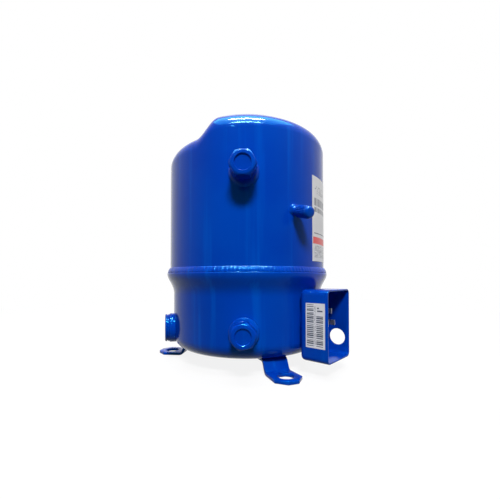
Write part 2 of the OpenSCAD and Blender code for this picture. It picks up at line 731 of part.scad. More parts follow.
// Shaft with its web and overhung crankpin, drilled for the oil plug and the pickup
module crankshaft() color("lightsteelblue") difference() {
    union() {
        translate([0, 0, web_z]) cylinder(r = web_r, h = web_top - web_z);
        translate([0, 0, web_top - cut]) cylinder(r = journal_r, h = bearing_z + 2 - web_top + cut);
        translate([0, 0, bearing_z]) cylinder(r = seat_r, h = shaft_top - bearing_z);
        translate([0, crank_r, crankpin_foot]) cylinder(r = crankpin_r, h = web_z - crankpin_foot + cut);
    }
    translate([0, plug_y, crankpin_foot - cut]) cylinder(r = plug_r + weld_fit, h = plug_l + cut);
    translate([0, pickup_y, crankpin_foot - cut]) cylinder(r = pickup_r + weld_fit, h = 8 + cut);
}
// Half ring on the side of the web away from the crankpin
module counterweight() color("slategray") translate([0, 0, weight_z]) difference() {
    tube(weight_r, web_r + weld_fit, web_top - weight_z);
    translate([-2 * weight_r, 0, -cut]) cube([4 * weight_r, 2 * weight_r, web_top]);
}
module oil_plug() color("gold") translate([0, plug_y, crankpin_foot]) cylinder(r = plug_r, h = plug_l);
module oil_pickup() color("silver") translate([0, pickup_y, 0]) difference() {
    translate([0, 0, pickup_foot]) cylinder(r = pickup_r, h = crankpin_foot + 8 - pickup_foot);
    translate([0, 0, pickup_foot - cut]) cylinder(r = pickup_r - 1, h = crankpin_foot);
}

// Drive: a round slide block on the crankpin runs across in the crosshead, which carries the piston
module slide_block() color("darkkhaki") difference() {
    translate([-block_l / 2, crank_r, pump_z]) rotate([0, 90, 0]) cylinder(r = block_r, h = block_l);
    translate([0, crank_r, crankpin_foot]) cylinder(r = crankpin_r + bearing_fit, h = 4 * block_r);
}
neck_r = 13;
module crosshead() color("gray") difference() {
    union() {
        translate([-crosshead_l / 2, crank_r, pump_z]) rotate([0, 90, 0]) cylinder(r = crosshead_r, h = crosshead_l);
        along_bore(crank_r) cylinder(r = neck_r, h = piston_y - crank_r);
    }
    translate([-crosshead_l, crank_r, pump_z]) rotate([0, 90, 0]) cylinder(r = crosshead_in, h = 2 * crosshead_l);
    slot_half = crank_r + crankpin_r + 1;
    translate([-slot_half, crank_r - crankpin_r - 1, pump_z - 2 * crosshead_r])
        cube([2 * slot_half, crankpin_d + 2, 4 * crosshead_r]);
}
ring_h_piston = 2;
ring_places = [4, 9];
module piston() color("lightgray") along_bore(piston_y) difference() {
    cylinder(r = bore_r - piston_fit, h = piston_l);
    for (p = ring_places) translate([0, 0, piston_l - p - ring_h_piston]) difference() {
        cylinder(r = bore_r + cut, h = ring_h_piston);
        cylinder(r = bore_r - 3, h = ring_h_piston);
    }
}
module piston_rings() color("dimgray") along_bore(piston_y)
    for (p = ring_places) translate([0, 0, piston_l - p - ring_h_piston + weld_fit / 2])
        tube(bore_r - piston_fit, bore_r - 3 + weld_fit, ring_h_piston - weld_fit);

// Valve gear: gasket, suction ring below the plate, plate, discharge ring and its stop above
module deck_gasket() color("saddlebrown") along_bore(deck_y) difference() {
    tube(head_r, suction_ring_out + loose_fit, gasket_t);
    translate([0, 0, -cut]) head_holes(head_screw_d / 2 + weld_fit, gasket_t + 2 * cut);
}
module suction_valve_ring() color("silver") along_bore(plate_y - ring_t)
    tube(suction_ring_out, suction_ring_in, ring_t);
module valve_plate() color("gray") along_bore(plate_y) difference() {
    cylinder(r = head_r, h = plate_t);
    translate([0, 0, -cut]) {
        head_holes(head_screw_d / 2 + weld_fit, plate_t + 2 * cut);
        for (i = [0 : 11]) rotate(30 * i + 15) translate([suction_port_r, 0, 0]) cylinder(r = 1.1, h = plate_t + 2 * cut);
        for (i = [0 : 7]) rotate(45 * i) translate([discharge_port_r, 0, 0]) cylinder(r = 2, h = plate_t + 2 * cut);
    }
}
module discharge_valve_ring() color("silver") along_bore(plate_top)
    tube(discharge_ring_out, discharge_ring_in, ring_t);
module valve_stop() color("gray") along_bore(plate_top) {
    cylinder(r = stop_post_r, h = stop_gap + cut / 2);
    translate([0, 0, stop_gap]) cylinder(r = stop_r, h = stop_t);
}
module head_gasket() color("saddlebrown") along_bore(plate_top) difference() {
    union() {
        tube(head_r, groove_out, gasket_t);
        tube(groove_in, chamber_r, gasket_t);
    }
    translate([0, 0, -cut]) head_holes(head_screw_d / 2 + weld_fit, gasket_t + 2 * cut);
}
// Head with a suction groove round a discharge chamber; the outlet crosses below, through solid metal
module cylinder_head() color("dimgray") difference() {
    along_bore(head_y) difference() {
        union() {
            cylinder(r = head_r, h = head_rim);
            cylinder(r = groove_in + 3, h = head_boss);
        }
        translate([0, 0, -cut]) cylinder(r = chamber_r, h = head_boss - 4 + cut);
        translate([0, 0, -cut]) difference() {
            tube(groove_out, groove_in, groove_depth + cut);
            translate([-outlet_r - 4, 0, -cut]) cube([2 * outlet_r + 8, 2 * head_r, 2 * head_boss]);
        }
        translate([0, 0, -cut]) head_holes(head_screw_d / 2 + weld_fit, head_rim + 2 * cut);
    }
    translate([0, outlet_y, pump_z - head_r - cut]) cylinder(r = outlet_r + weld_fit, h = head_r);
    translate([0, intake_y, pump_z + groove_in + 2]) cylinder(r = intake_r + weld_fit, h = head_r);
}
module head_screws() color("silver") along_bore(head_y) {
    translate([0, 0, -plate_t - 14]) head_holes(head_screw_d / 2, plate_t + 14 + head_rim + 0.5);
    for (i = [0 : head_screws_n - 1]) rotate(60 * i) translate([head_circle / 2, 0, head_rim])
        cylinder(r = 3.7, h = 2.5, $fn = 6);
}
module suction_intake() color("silver") translate([0, intake_y, 0]) difference() {
    union() {
        translate([0, 0, pump_z + groove_in + 3]) cylinder(r = intake_r, h = intake_top - pump_z - groove_in - 3);
        translate([0, 0, intake_top - 6]) cylinder(r1 = intake_r, r2 = intake_r + 2.5, h = 6);
    }
    translate([0, 0, pump_z]) cylinder(r = intake_r - 1, h = intake_top);
}

// Discharge line: down out of the head, round the left of the pan, into the muffler behind the port
arc_r = (outlet_y + muffler_at) / 2;
arc_y = (outlet_y - muffler_at) / 2;
module outlet_path(r) {
    translate([0, outlet_y, outlet_z + outlet_bend])
        cylinder(r = r, h = pump_z - head_r + 8 - outlet_z - outlet_bend);
    translate([-outlet_bend, outlet_y, outlet_z + outlet_bend]) rotate([90, 0, 0])
        rotate_extrude(angle = -90) translate([outlet_bend, 0]) circle(r = r);
    turn = asin(outlet_bend / arc_r);
    translate([0, arc_y, outlet_z]) rotate([0, 0, 90 + turn])
        rotate_extrude(angle = 180 - turn - asin((muffler_r - 4) / arc_r)) translate([arc_r, 0]) circle(r = r);
}
module discharge_tube() color("peru") outlet_path(outlet_r);
module discharge_muffler() color("slategray") difference() {
    union() {
        translate([0, -muffler_at, pan_floor + loose_fit]) cylinder(r = muffler_r, h = muffler_h);
        radial(0, discharge_z) translate([0, 0, muffler_at])
            cylinder(r = port_bore / 2 - weld_fit, h = pan_in - 1 - muffler_at);
    }
    translate([0, -muffler_at, pan_floor + loose_fit + muffler_wall])
        cylinder(r = muffler_r - muffler_wall, h = muffler_h - 2 * muffler_wall);
    radial(0, discharge_z) translate([0, 0, muffler_at])
        cylinder(r = port_bore / 2 - weld_fit - muffler_wall, h = pan_in - muffler_at);
    outlet_path(outlet_r + weld_fit);
}

module rotor_core() color("darkgray") translate([0, 0, stator_z]) difference() {
    cylinder(r = rotor_r, h = stack_h);
    translate([0, 0, -cut]) cylinder(r = seat_r + bearing_fit / 2, h = stack_h + 2 * cut);
    for (i = [0 : bars - 1]) rotate(360 * i / bars) translate([bar_circle_r, 0, -cut])
        cylinder(r = bar_r + weld_fit, h = stack_h + 2 * cut);
}
module rotor_cage() color("lightgray") {
    for (z = [stator_z - ring_h, stack_top]) translate([0, 0, z]) tube(rotor_r - 1, seat_r + 10, ring_h);
    for (i = [0 : bars - 1]) rotate(360 * i / bars) translate([bar_circle_r, 0, stator_z - cut])
        cylinder(r = bar_r, h = stack_h + 2 * cut);
}
module slot_fill(inset, z, h) for (i = [0 : slots - 1]) rotate(360 * (i + 0.5) / slots)
    translate([slot_in + inset, inset - slot_w / 2, z])
        cube([slot_out - slot_in - 2 * inset, slot_w - 2 * inset, h]);
module stator_core() color("darkgray") difference() {
    translate([0, 0, stator_z]) tube(stator_r, stator_in, stack_h);
    slot_fill(0, stator_z - cut, stack_h + 2 * cut);
    for (turn = leg_turns) spoke(turn) translate([stator_circle / 2, 0, stator_z - cut])
        cylinder(d = stator_screw_d + 2 * weld_fit, h = stack_h + 2 * cut);
}
// End turns above and below, joined by the conductors in the slots
module stator_winding() color("chocolate") {
    for (z = [stator_z - turn_h - loose_fit, stack_top + loose_fit]) translate([0, 0, z])
        tube(turn_out, turn_in, turn_h);
    slot_fill(weld_fit, stator_z - cut, stack_h + 2 * cut);
}
module stator_screws() color("silver") for (turn = leg_turns) spoke(turn) translate([stator_circle / 2, 0, 0]) {
    translate([0, 0, stator_z - 20]) cylinder(d = stator_screw_d, h = stack_h + 20.5);
    translate([0, 0, stack_top]) cylinder(d = stator_screw_d * 1.7, h = 5, $fn = 6);
}

upper_shell();
lower_shell();
belly_weld();
front_foot();
left_foot();
rear_foot();
suction_stub();
suction_seal();
suction_cap();
discharge_stub();
discharge_seal();
discharge_cap();
sight_boss();
sight_body();
sight_lens();
sight_seal();
service_stub();
service_body();
service_core();
service_cap();
terminal_collar();
terminal_box();
terminal_cup();
terminal_beads();
terminal_pins();
terminal_plug();
motor_leads();
support_brackets();
support_screws();
crankcase();
lower_bush();
upper_bush();
thrust_washer();
crankshaft();
counterweight();
oil_plug();
oil_pickup();
slide_block();
crosshead();
piston();
piston_rings();
deck_gasket();
suction_valve_ring();
valve_plate();
discharge_valve_ring();
valve_stop();
head_gasket();
cylinder_head();
head_screws();
suction_intake();
discharge_tube();
discharge_muffler();
rotor_core();
rotor_cage();
stator_core();
stator_winding();
stator_screws();
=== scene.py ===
"""Dresses the welded piston compressor: painted shell, feet, ports, glass, box, labels, inner works, studio."""
from __future__ import annotations

import json
import logging
import math
from dataclasses import dataclass
from enum import Enum
from typing import Any, Callable, Optional, Sequence, Union

import bpy
from mathutils import Matrix, Vector

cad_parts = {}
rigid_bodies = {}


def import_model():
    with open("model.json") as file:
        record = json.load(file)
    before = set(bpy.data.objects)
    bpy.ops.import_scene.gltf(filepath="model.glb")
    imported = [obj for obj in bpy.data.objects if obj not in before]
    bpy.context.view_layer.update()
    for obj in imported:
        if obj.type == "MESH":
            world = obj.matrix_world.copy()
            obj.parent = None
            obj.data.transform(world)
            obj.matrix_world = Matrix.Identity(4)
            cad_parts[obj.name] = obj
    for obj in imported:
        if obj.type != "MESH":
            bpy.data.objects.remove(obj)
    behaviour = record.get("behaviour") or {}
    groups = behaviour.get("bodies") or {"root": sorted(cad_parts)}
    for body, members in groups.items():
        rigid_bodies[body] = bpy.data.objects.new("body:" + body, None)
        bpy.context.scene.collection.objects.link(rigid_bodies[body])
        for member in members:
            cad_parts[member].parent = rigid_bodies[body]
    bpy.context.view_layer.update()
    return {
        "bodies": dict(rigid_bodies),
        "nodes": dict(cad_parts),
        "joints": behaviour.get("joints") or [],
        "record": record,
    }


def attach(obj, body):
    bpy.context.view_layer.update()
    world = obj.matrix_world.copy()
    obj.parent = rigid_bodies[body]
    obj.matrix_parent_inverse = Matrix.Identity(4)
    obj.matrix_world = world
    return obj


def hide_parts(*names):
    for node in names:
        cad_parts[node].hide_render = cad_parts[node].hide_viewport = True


LOG = logging.getLogger("compressor")
MM = 0.001
CREASE = math.radians(32)
Piece = bpy.types.Object
Point = tuple[float, float]
Dish = tuple[float, float, float]
Colour = tuple[float, float, float, float]
WHITE: Colour = (1.0, 1.0, 1.0, 1.0)


def toned(colour: Colour, factor: float, lift: float = 0.0) -> Colour:
    """Makes a colour darker or lighter."""
    red, green, blue = (min(1.0, part * factor + lift) for part in colour[:3])
    return red, green, blue, 1.0


def blend(ends: Point, share: float) -> float:
    """Gives the value a share of the way between two ends."""
    return ends[0] + (ends[1] - ends[0]) * share


def smooth(share: float) -> float:
    """Eases a share from 0 to 1 at both ends."""
    return share * share * (3 - 2 * share)


def radial(turn: float, z: float) -> Matrix:
    """Gives the axes of a piece on the shell: local Z points outwards, local Y up.

    Args:
        turn: direction in degrees, from the front towards the right.
        z: height above the mounting plane.

    Returns:
        The matrix from those axes to the part's own.
    """
    return (Matrix.Translation((0, 0, z)) @ Matrix.Rotation(math.radians(turn), 4, "Z")
            @ Matrix.Rotation(math.pi / 2, 4, "X"))


def rounded(path: Sequence[Point], radii: Sequence[float], steps: int = 6) -> list[Point]:
    """Rounds the inner corners of an open path.

    Args:
        path: corner points in order.
        radii: one radius for each inner corner, 0 to keep it sharp.
        steps: chords in each arc.

    Returns:
        The path with an arc in place of each rounded corner.
    """
    out: list[Point] = [path[0]]
    for before, corner, after, radius in zip(path, path[1:], path[2:], radii):
        if radius <= 0:
            out.append(corner)
            continue
        here = Vector(corner)
        a, b = (Vector(before) - here).normalized(), (Vector(after) - here).normalized()
        half = math.acos(max(-1.0, min(1.0, a.dot(b)))) / 2
        centre = here + (a + b).normalized() * (radius / math.sin(half))
        first = here + a * (radius / math.tan(half)) - centre
        last = here + b * (radius / math.tan(half)) - centre
        start = math.atan2(first.y, first.x)
        sweep = (math.atan2(last.y, last.x) - start + math.pi) % (2 * math.pi) - math.pi
        for i in range(steps + 1):
            t = start + sweep * i / steps
            out.append((centre.x + radius * math.cos(t), centre.y + radius * math.sin(t)))
    out.append(path[-1])
    return out


def arc(centre: Point, radius: float, first: float, last: float, steps: int) -> list[Point]:
    """Gives points on an arc.

    Args:
        centre: middle of the arc.
        radius: its radius.
        first: angle of the first point in degrees.
        last: angle of the last point in degrees.
        steps: number of chords.

    Returns:
        The points in order.
    """
    turns = [math.radians(first + (last - first) * i / steps) for i in range(steps + 1)]
    return [(centre[0] + radius * math.cos(t), centre[1] + radius * math.sin(t)) for t in turns]


def washer(inner: float, outer: float, low: float, high: float) -> list[Point]:
    """Gives the half section of a flat ring with rounded edges."""
    middle = ((inner + outer) / 2, low)
    return rounded([middle, (outer, low), (outer, high), (inner, high), (inner, low), middle], [0.0003] * 4, 3)


class Bench:
    """Modelling by hand: operators on one mesh at a time, with nothing else selected."""

    @staticmethod
    def rest() -> None:
        """Leaves edit mode and deselects everything."""
        if bpy.context.object and bpy.context.object.mode != "OBJECT":
            bpy.ops.object.mode_set(mode="OBJECT")
        bpy.ops.object.select_all(action="DESELECT")

    @staticmethod
    def take(piece: Piece) -> None:
        """Makes one piece the selected and the active one.

        Args:
            piece: the piece to work on.
        """
        Bench.rest()
        piece.select_set(True)
        bpy.context.view_layer.objects.active = piece

    @staticmethod
    def edit(piece: Piece) -> None:
        """Opens a piece in edit mode with all of it selected.

        Args:
            piece: the piece to work on.
        """
        Bench.take(piece)
        bpy.ops.object.mode_set(mode="EDIT")
        bpy.ops.mesh.select_all(action="SELECT")

    @staticmethod
    def pick(piece: Piece, kind: str, chosen: Callable[[Any], bool]) -> None:
        """Opens a piece in edit mode with some of its faces or edges selected.

        Args:
            piece: the piece to work on.
            kind: FACE or EDGE.
            chosen: says whether a face or an edge is selected.
        """
        Bench.edit(piece)
        bpy.ops.mesh.select_mode(type=kind)
        bpy.ops.mesh.select_all(action="DESELECT")
        Bench.rest()
        for item in piece.data.polygons if kind == "FACE" else piece.data.edges:
            item.select = chosen(item)
        Bench.take(piece)
        bpy.ops.object.mode_set(mode="EDIT")

    @staticmethod
    def tidy(piece: Piece) -> None:
        """Merges doubled points and turns all faces outwards.

        Args:
            piece: the mesh to tidy.
        """
        Bench.edit(piece)
        bpy.ops.mesh.remove_doubles(threshold=1e-6)
        bpy.ops.mesh.normals_make_consistent(inside=False)
        Bench.rest()

    @staticmethod
    def baked(name: str) -> Piece:
        """Names the primitive that was just added and puts its place and size into its mesh.

        Args:
            name: name of the new piece.

        Returns:
            The new piece.
        """
        bpy.ops.object.transform_apply()
        bpy.context.object.name = name
        return bpy.context.object

    @staticmethod
    def placed(piece: Piece, place: Matrix) -> Piece:
        """Moves a piece and puts the move into its mesh.

        Args:
            piece: the piece, at the origin.
            place: where it goes.

        Returns:
            The same piece.
        """
        piece.matrix_world = place
        Bench.take(piece)
        bpy.ops.object.transform_apply()
        return piece

    @staticmethod
    def point(name: str, at: Sequence[float]) -> Piece:
        """Starts a mesh as one point and stays in edit mode with it selected.

        Args:
            name: name of the new piece.
            at: place of the point.

        Returns:
            The new piece.
        """
        Bench.rest()
        bpy.ops.mesh.primitive_plane_add(size=MM)
        piece = bpy.context.object
        piece.name = name
        Bench.edit(piece)
        bpy.ops.mesh.merge(type="CENTER")
        bpy.ops.transform.translate(value=at)
        return piece

    @staticmethod
    def turned(name: str, profile: Sequence[Point], steps: int = 96, place: Optional[Matrix] = None) -> Piece:
        """Draws a half section by extruding a point, and spins it round Z.

        Args:
            name: name of the new piece.
            profile: points of (radius, height). It is a ring when the last one repeats the first.
            steps: faces round the circle.
            place: where the piece goes, or None to leave it on the shell axis.

        Returns:
            The new piece.
        """
        piece = Bench.point(name, (profile[0][0], 0, profile[0][1]))
        for (r0, z0), (r1, z1) in zip(profile, profile[1:]):
            bpy.ops.mesh.extrude_vertices_move(TRANSFORM_OT_translate={"value": (r1 - r0, 0, z1 - z0)})
        bpy.ops.mesh.select_all(action="SELECT")
        bpy.ops.mesh.spin(steps=steps, angle=2 * math.pi, center=(0, 0, 0), axis=(0, 0, 1))
        Bench.tidy(piece)
        return Bench.placed(piece, place) if place else piece

    @staticmethod
    def rod(radius: float, low: float, high: float, place: Matrix, sides: int = 96) -> Piece:
        """Makes a plain rod.

        Args:
            radius: its radius.
            low: start along local Z.
            high: end along local Z.
            place: its axes.
            sides: faces round it.

        Returns:
            The rod.
        """
        Bench.rest()
        bpy.ops.mesh.primitive_cylinder_add(vertices=sides, radius=radius, depth=high - low,
                                            location=(0, 0, (low + high) / 2))
        return Bench.placed(Bench.baked("rod"), place)

    @staticmethod
    def join(piece: Piece, other: Piece) -> None:
        """Takes another mesh into a piece.

        Args:
            piece: the piece that stays.
            other: the mesh that is used up.
        """
        Bench.take(other)
        piece.select_set(True)
        bpy.context.view_layer.objects.active = piece
        bpy.ops.object.join()

    @staticmethod
    def modify(piece: Piece, kind: str, **settings: Any) -> None:
        """Adds a modifier and applies it.

        Args:
            piece: the piece to change.
            kind: type of the modifier.
            settings: its properties.
        """
        Bench.take(piece)
        tool = piece.modifiers.new(kind.title(), kind)
        for name, value in settings.items():
            setattr(tool, name, value)
        bpy.ops.object.modifier_apply(modifier=tool.name)

    @staticmethod
    def cut(piece: Piece, *cutters: Piece, how: str = "DIFFERENCE") -> None:
        """Cuts or crops a piece with other solids, which are used up.

        Args:
            piece: the piece to change.
            cutters: the solids to work with.
            how: boolean operation.
        """
        for cutter in cutters:
            Bench.modify(piece, "BOOLEAN", operation=how, solver="EXACT", object=cutter)
            bpy.data.objects.remove(cutter, do_unlink=True)

    @staticmethod
    def sheeted(piece: Piece, thick: float, side: float = -1.0) -> None:
        """Gives a skin its thickness, inwards at -1 and outwards at 1."""
        Bench.modify(piece, "SOLIDIFY", thickness=thick, offset=side, use_even_offset=side < 0)

    @staticmethod
    def eased(piece: Piece, width: float, segments: int, angle: float) -> None:
        """Rounds the edges that are sharper than an angle in degrees."""
        Bench.modify(piece, "BEVEL", width=width, segments=segments, limit_method="ANGLE",
                     angle_limit=math.radians(angle), harden_normals=False)

    @staticmethod
    def done(piece: Piece, finish: "Finish", body: str, slot: str, *nodes: str) -> None:
        """Shades and paints a finished piece, puts it on its body and hides the nodes it stands for.

        Args:
            piece: the piece.
            finish: its finish.
            body: the body it rides on.
            slot: not used.
            nodes: the CAD nodes it stands for.
        """
        Bench.take(piece)
        bpy.ops.object.shade_smooth_by_angle(angle=CREASE)
        Bench.rest()
        mesh = piece.data
        mesh.materials.clear()
        mesh.materials.append(finish.material())
        mesh.polygons.foreach_set("material_index", [0] * len(mesh.polygons))
        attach(piece, body)
        if nodes:
            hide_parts(*nodes)
        LOG.info("%s: %d faces, on %s, for %s", piece.name, len(mesh.polygons), body, ", ".join(nodes) or "itself")


@dataclass(frozen=True)
class Wire:
    """A shader socket that takes part in Python sums."""

    graph: "Graph"
    socket: bpy.types.NodeSocket

    def _sum(self, kind: str, a: "Value", b: "Value" = 0.0) -> "Wire":
        """Adds one Math node."""
        return self.graph.node("ShaderNodeMath", {"operation": kind}, {0: a, 1: b})

    def __add__(self, other: "Value") -> "Wire":
        """Gives self + other."""
        return self._sum("ADD", self, other)

    __radd__ = __add__

    def __sub__(self, other: "Value") -> "Wire":
        """Gives self - other."""
        return self._sum("SUBTRACT", self, other)

    def __rsub__(self, other: "Value") -> "Wire":
        """Gives other - self."""
        return self._sum("SUBTRACT", other, self)

    def __mul__(self, other: "Value") -> "Wire":
        """Gives self * other."""
        return self._sum("MULTIPLY", self, other)

    __rmul__ = __mul__

    def __gt__(self, other: "Value") -> "Wire":
        """Gives 1 where self is greater."""
        return self._sum("GREATER_THAN", self, other)

    def __lt__(self, other: "Value") -> "Wire":
        """Gives 1 where self is less."""
        return self._sum("LESS_THAN", self, other)

    def floor(self) -> "Wire":
        """Gives the whole number below."""
        return self._sum("FLOOR", self)

    def within(self, low: float, high: float) -> "Wire":
        """Gives 1 between two values."""
        return (self > low) * (self < high)

    def ease(self, low: float, high: float) -> "Wire":
        """Rises smoothly from 0 at low to 1 at high."""
        return self.graph.node("ShaderNodeMapRange", {"interpolation_type": "SMOOTHSTEP"},
                               {"Value": self, "From Min": low, "From Max": high})


Value = Union[float, Wire]


class Graph:
    """The nodes of one material or of the world."""

    def __init__(self, owner: Union[bpy.types.Material, bpy.types.World]) -> None:
        """Starts an empty node tree.

        Args:
            owner: the material or world.
        """
        owner.use_nodes = True
        self.tree = owner.node_tree
        self.tree.nodes.clear()

    def node(self, kind: str, settings: Optional[dict[str, Any]] = None,
             inputs: Optional[dict[Union[int, str], Any]] = None, out: Union[int, str] = 0) -> Wire:
        """Adds a node.

        Args:
            kind: type of the node.
            settings: properties, set first.
            inputs: values or wires for its sockets.
            out: the output to return.

        Returns:
            That output.
        """
        made = self.tree.nodes.new(kind)
        for name, value in (settings or {}).items():
            setattr(made, name, value)
        for key, value in (inputs or {}).items():
            if isinstance(value, Wire):
                self.tree.links.new(value.socket, made.inputs[key])
            else:
                made.inputs[key].default_value = value
        return Wire(self, made.outputs[out])

    def place(self, stretch: Sequence[float] = (1, 1, 1)) -> Wire:
        """Gives the object's own coordinates, stretched."""
        own = self.node("ShaderNodeTexCoord", out="Object")
        return self.node("ShaderNodeVectorMath", {"operation": "MULTIPLY"}, {0: own, 1: tuple(stretch)})

    def noise(self, where: Wire, scale: float, detail: float = 2.0, rough: float = 0.5) -> Wire:
        """Gives a soft random value from 0 to 1."""
        return self.node("ShaderNodeTexNoise", None,
                         {"Vector": where, "Scale": scale, "Detail": detail, "Roughness": rough})

    def mix(self, share: Value, a: Any, b: Any) -> Wire:
        """Mixes two colours."""
        return self.node("ShaderNodeMix", {"data_type": "RGBA", "clamp_factor": True}, {0: share, 6: a, 7: b}, 2)

    def blended(self, share: Value, a: Wire, b: Wire) -> Wire:
        """Mixes two shaders."""
        return self.node("ShaderNodeMixShader", None, {0: share, 1: a, 2: b})

    def shown(self) -> Wire:
        """Tells what the eye sees, straight, in a reflection or through glass, from light that only bounces.

        Returns:
            1 for rays that are seen and 0 for the others.
        """
        eye = self.node("ShaderNodeLightPath", out="Is Camera Ray")
        rays = eye.socket.node.outputs
        return (eye + Wire(self, rays["Is Glossy Ray"]) + Wire(self, rays["Is Transmission Ray"])) > 0.5

    def bump(self, height: Wire, strength: float, depth: float) -> Wire:
        """Turns a height into a normal."""
        return self.node("ShaderNodeBump", None, {"Strength": strength, "Distance": depth, "Height": height})

    def edges(self, radius: float) -> Wire:
        """Gives 0 on flat faces, rising towards sharp outer and inner edges.

        Args:
            radius: how far from an edge it rises.

        Returns:
            The value.
        """
        soft = self.node("ShaderNodeBevel", {"samples": 6}, {"Radius": radius})
        true = self.node("ShaderNodeNewGeometry", out="Normal")
        return 1.0 - self.node("ShaderNodeVectorMath", {"operation": "DOT_PRODUCT"}, {0: soft, 1: true}, "Value")

    def surface(self, **sockets: Any) -> None:
        """Ends a material in one Principled shader.

        Args:
            sockets: its inputs, with _ for a space.
        """
        shader = self.node("ShaderNodeBsdfPrincipled", None,
                           {name.replace("_", " "): value for name, value in sockets.items()})
        self.output(shader)

    def output(self, shader: Wire, kind: str = "ShaderNodeOutputMaterial") -> None:
        """Links a shader to the output."""
        end = self.tree.nodes.new(kind)
        self.tree.links.new(shader.socket, end.inputs["Surface"])


@dataclass(frozen=True)
class Finish:
    """A surface finish, made into a material once."""

    name: str

    def material(self) -> bpy.types.Material:
        """Makes the material, or finds it when it was made before.

        Returns:
            The material of this finish.
        """
        found = bpy.data.materials.get(self.name)
        if found is None:
            found = bpy.data.materials.new(self.name)
            self.dress(Graph(found))
        return found

    def dress(self, g: Graph) -> None:
        """Builds the nodes.

        Args:
            g: the material's empty graph.
        """
        raise NotImplementedError


@dataclass(frozen=True)
class Enamel(Finish):
    """Sprayed gloss enamel with orange peel and lighter vertical streaks that are painted reflections; worn pieces add
    chips and a painted highlight on their edges.
    """

    deep: Colour = (0.0, 0.034, 0.38, 1)
    light: Colour = (0.0, 0.078, 0.52, 1)
    chip: Colour = (0.34, 0.33, 0.3, 1)
    edge_wear_and_highlight: bool = False
    peel: float = 0.03

    def dress(self, g: Graph) -> None:
        """Builds the paint.

        Args:
            g: the material's empty graph.
        """
        here = g.place()
        cloud = g.noise(here, 11.0, 3.0)
        # Painted reflection: lighter vertical streaks in the base colour stand in for reflections of the surroundings.
        painted_reflection_streaks = g.noise(g.place((70, 70, 2.6)), 1.0, 3.0, 0.6).ease(0.5, 0.7)
        colour = g.mix(cloud.ease(0.3, 0.7) * 0.25 + painted_reflection_streaks * 0.5, self.deep, self.light)
        rough: Value = 0.1 + 0.07 * g.noise(here, 60.0, 2.0)
        if self.edge_wear_and_highlight:
            edge = g.edges(0.0011)
            worn = (edge.ease(0.02, 0.3) * 0.5 + g.noise(here, 210.0, 4.0, 0.65) * 0.9).ease(1.12, 1.18)
            # Painted highlight: edges are mixed towards the lighter blue, standing in for glints on rounded edges.
            colour = g.mix((edge * 1.2).ease(0.0, 0.5) * 0.45, colour, self.light)
            colour = g.mix(worn, colour, self.chip)
            rough = rough + worn * 0.3
        peel = g.noise(here, 340.0, 1.0) + 0.35 * g.noise(here, 1100.0, 1.0)
        g.surface(Base_Color=colour, Roughness=rough, Specular_IOR_Level=0.2, Specular_Tint=(0.02, 0.6, 1.0, 1),
                  Normal=g.bump(peel, self.peel, 0.0006))


@dataclass(frozen=True)
class Metal(Finish):
    """Bare metal with fine tool marks, cloudy tone and a little stain."""

    colour: Colour = (0.6, 0.6, 0.6, 1)
    rough: float = 0.3
    stretch: tuple[float, float, float] = (1, 1, 12)
    scale: float = 260.0
    stain: float = 0.25
    grain: float = 0.12

    def dress(self, g: Graph) -> None:
        """Builds the metal.

        Args:
            g: the material's empty graph.
        """
        marks = g.noise(g.place(self.stretch), self.scale, 3.0, 0.6)
        cloud = g.noise(g.place(), 38.0, 3.0)
        dark = toned(self.colour, 0.55)
        colour = g.mix(cloud.ease(0.42, 0.75) * self.stain + marks * 0.12, self.colour, dark)
        g.surface(Base_Color=colour, Metallic=1.0, Roughness=self.rough - 0.08 + 0.16 * marks + 0.08 * cloud,
                  Normal=g.bump(marks, self.grain, 0.0002))


@dataclass(frozen=True)
class Casting(Finish):
    """Sand cast or sheet-board surface: matt, grainy and blotched."""

    colour: Colour = (0.2, 0.2, 0.2, 1)
    metal: float = 0.6
    rough: float = 0.58
    scale: float = 420.0

    def dress(self, g: Graph) -> None:
        """Builds the grain.

        Args:
            g: the material's empty graph.
        """
        here = g.place()
        grain = g.noise(here, self.scale, 4.0, 0.65)
        blotch = g.noise(here, 30.0, 3.0)
        pale = toned(self.colour, 1.45, 0.02)
        colour = g.mix(blotch.ease(0.35, 0.7) * 0.5 + grain * 0.3, self.colour, pale)
        g.surface(Base_Color=colour, Metallic=self.metal, Roughness=self.rough + 0.2 * (grain - 0.5),
                  Normal=g.bump(grain, 0.35, 0.0004))


@dataclass(frozen=True)
class Moulded(Finish):
    """Rubber, plastic or sleeving: even colour with a fine matt grain and dust."""

    colour: Colour = (0.1, 0.1, 0.1, 1)
    rough: float = 0.5
    dust: float = 0.12
    dirt: Colour = (0.5, 0.48, 0.44, 1)

    def dress(self, g: Graph) -> None:
        """Builds the plastic.

        Args:
            g: the material's empty graph.
        """
        here = g.place()
        dust = g.noise(here, 90.0, 4.0).ease(0.45, 0.8)
        grain = g.noise(here, 900.0, 2.0)
        colour = g.mix(dust * self.dust, self.colour, self.dirt)
        g.surface(Base_Color=colour, Roughness=self.rough + 0.15 * dust, Normal=g.bump(grain, 0.12, 0.0002))


@dataclass(frozen=True)
class Glass(Finish):
    """Pressed glass with a slight tint and a faint film."""

    colour: Colour = (0.86, 0.95, 0.92, 1)
    clear: float = 1.0

    def dress(self, g: Graph) -> None:
        """Builds the glass.

        Args:
            g: the material's empty graph.
        """
        film = g.noise(g.place(), 120.0, 3.0)
        dim = toned(self.colour, 0.8)
        g.surface(Base_Color=g.mix(film.ease(0.4, 0.8) * 0.5, self.colour, dim), Roughness=0.03 + 0.08 * film,
                  Transmission_Weight=self.clear, IOR=1.5)


class Print(Enum):
    """Which plain label is printed."""

    SHELL = "shell"
    BOX = "box"


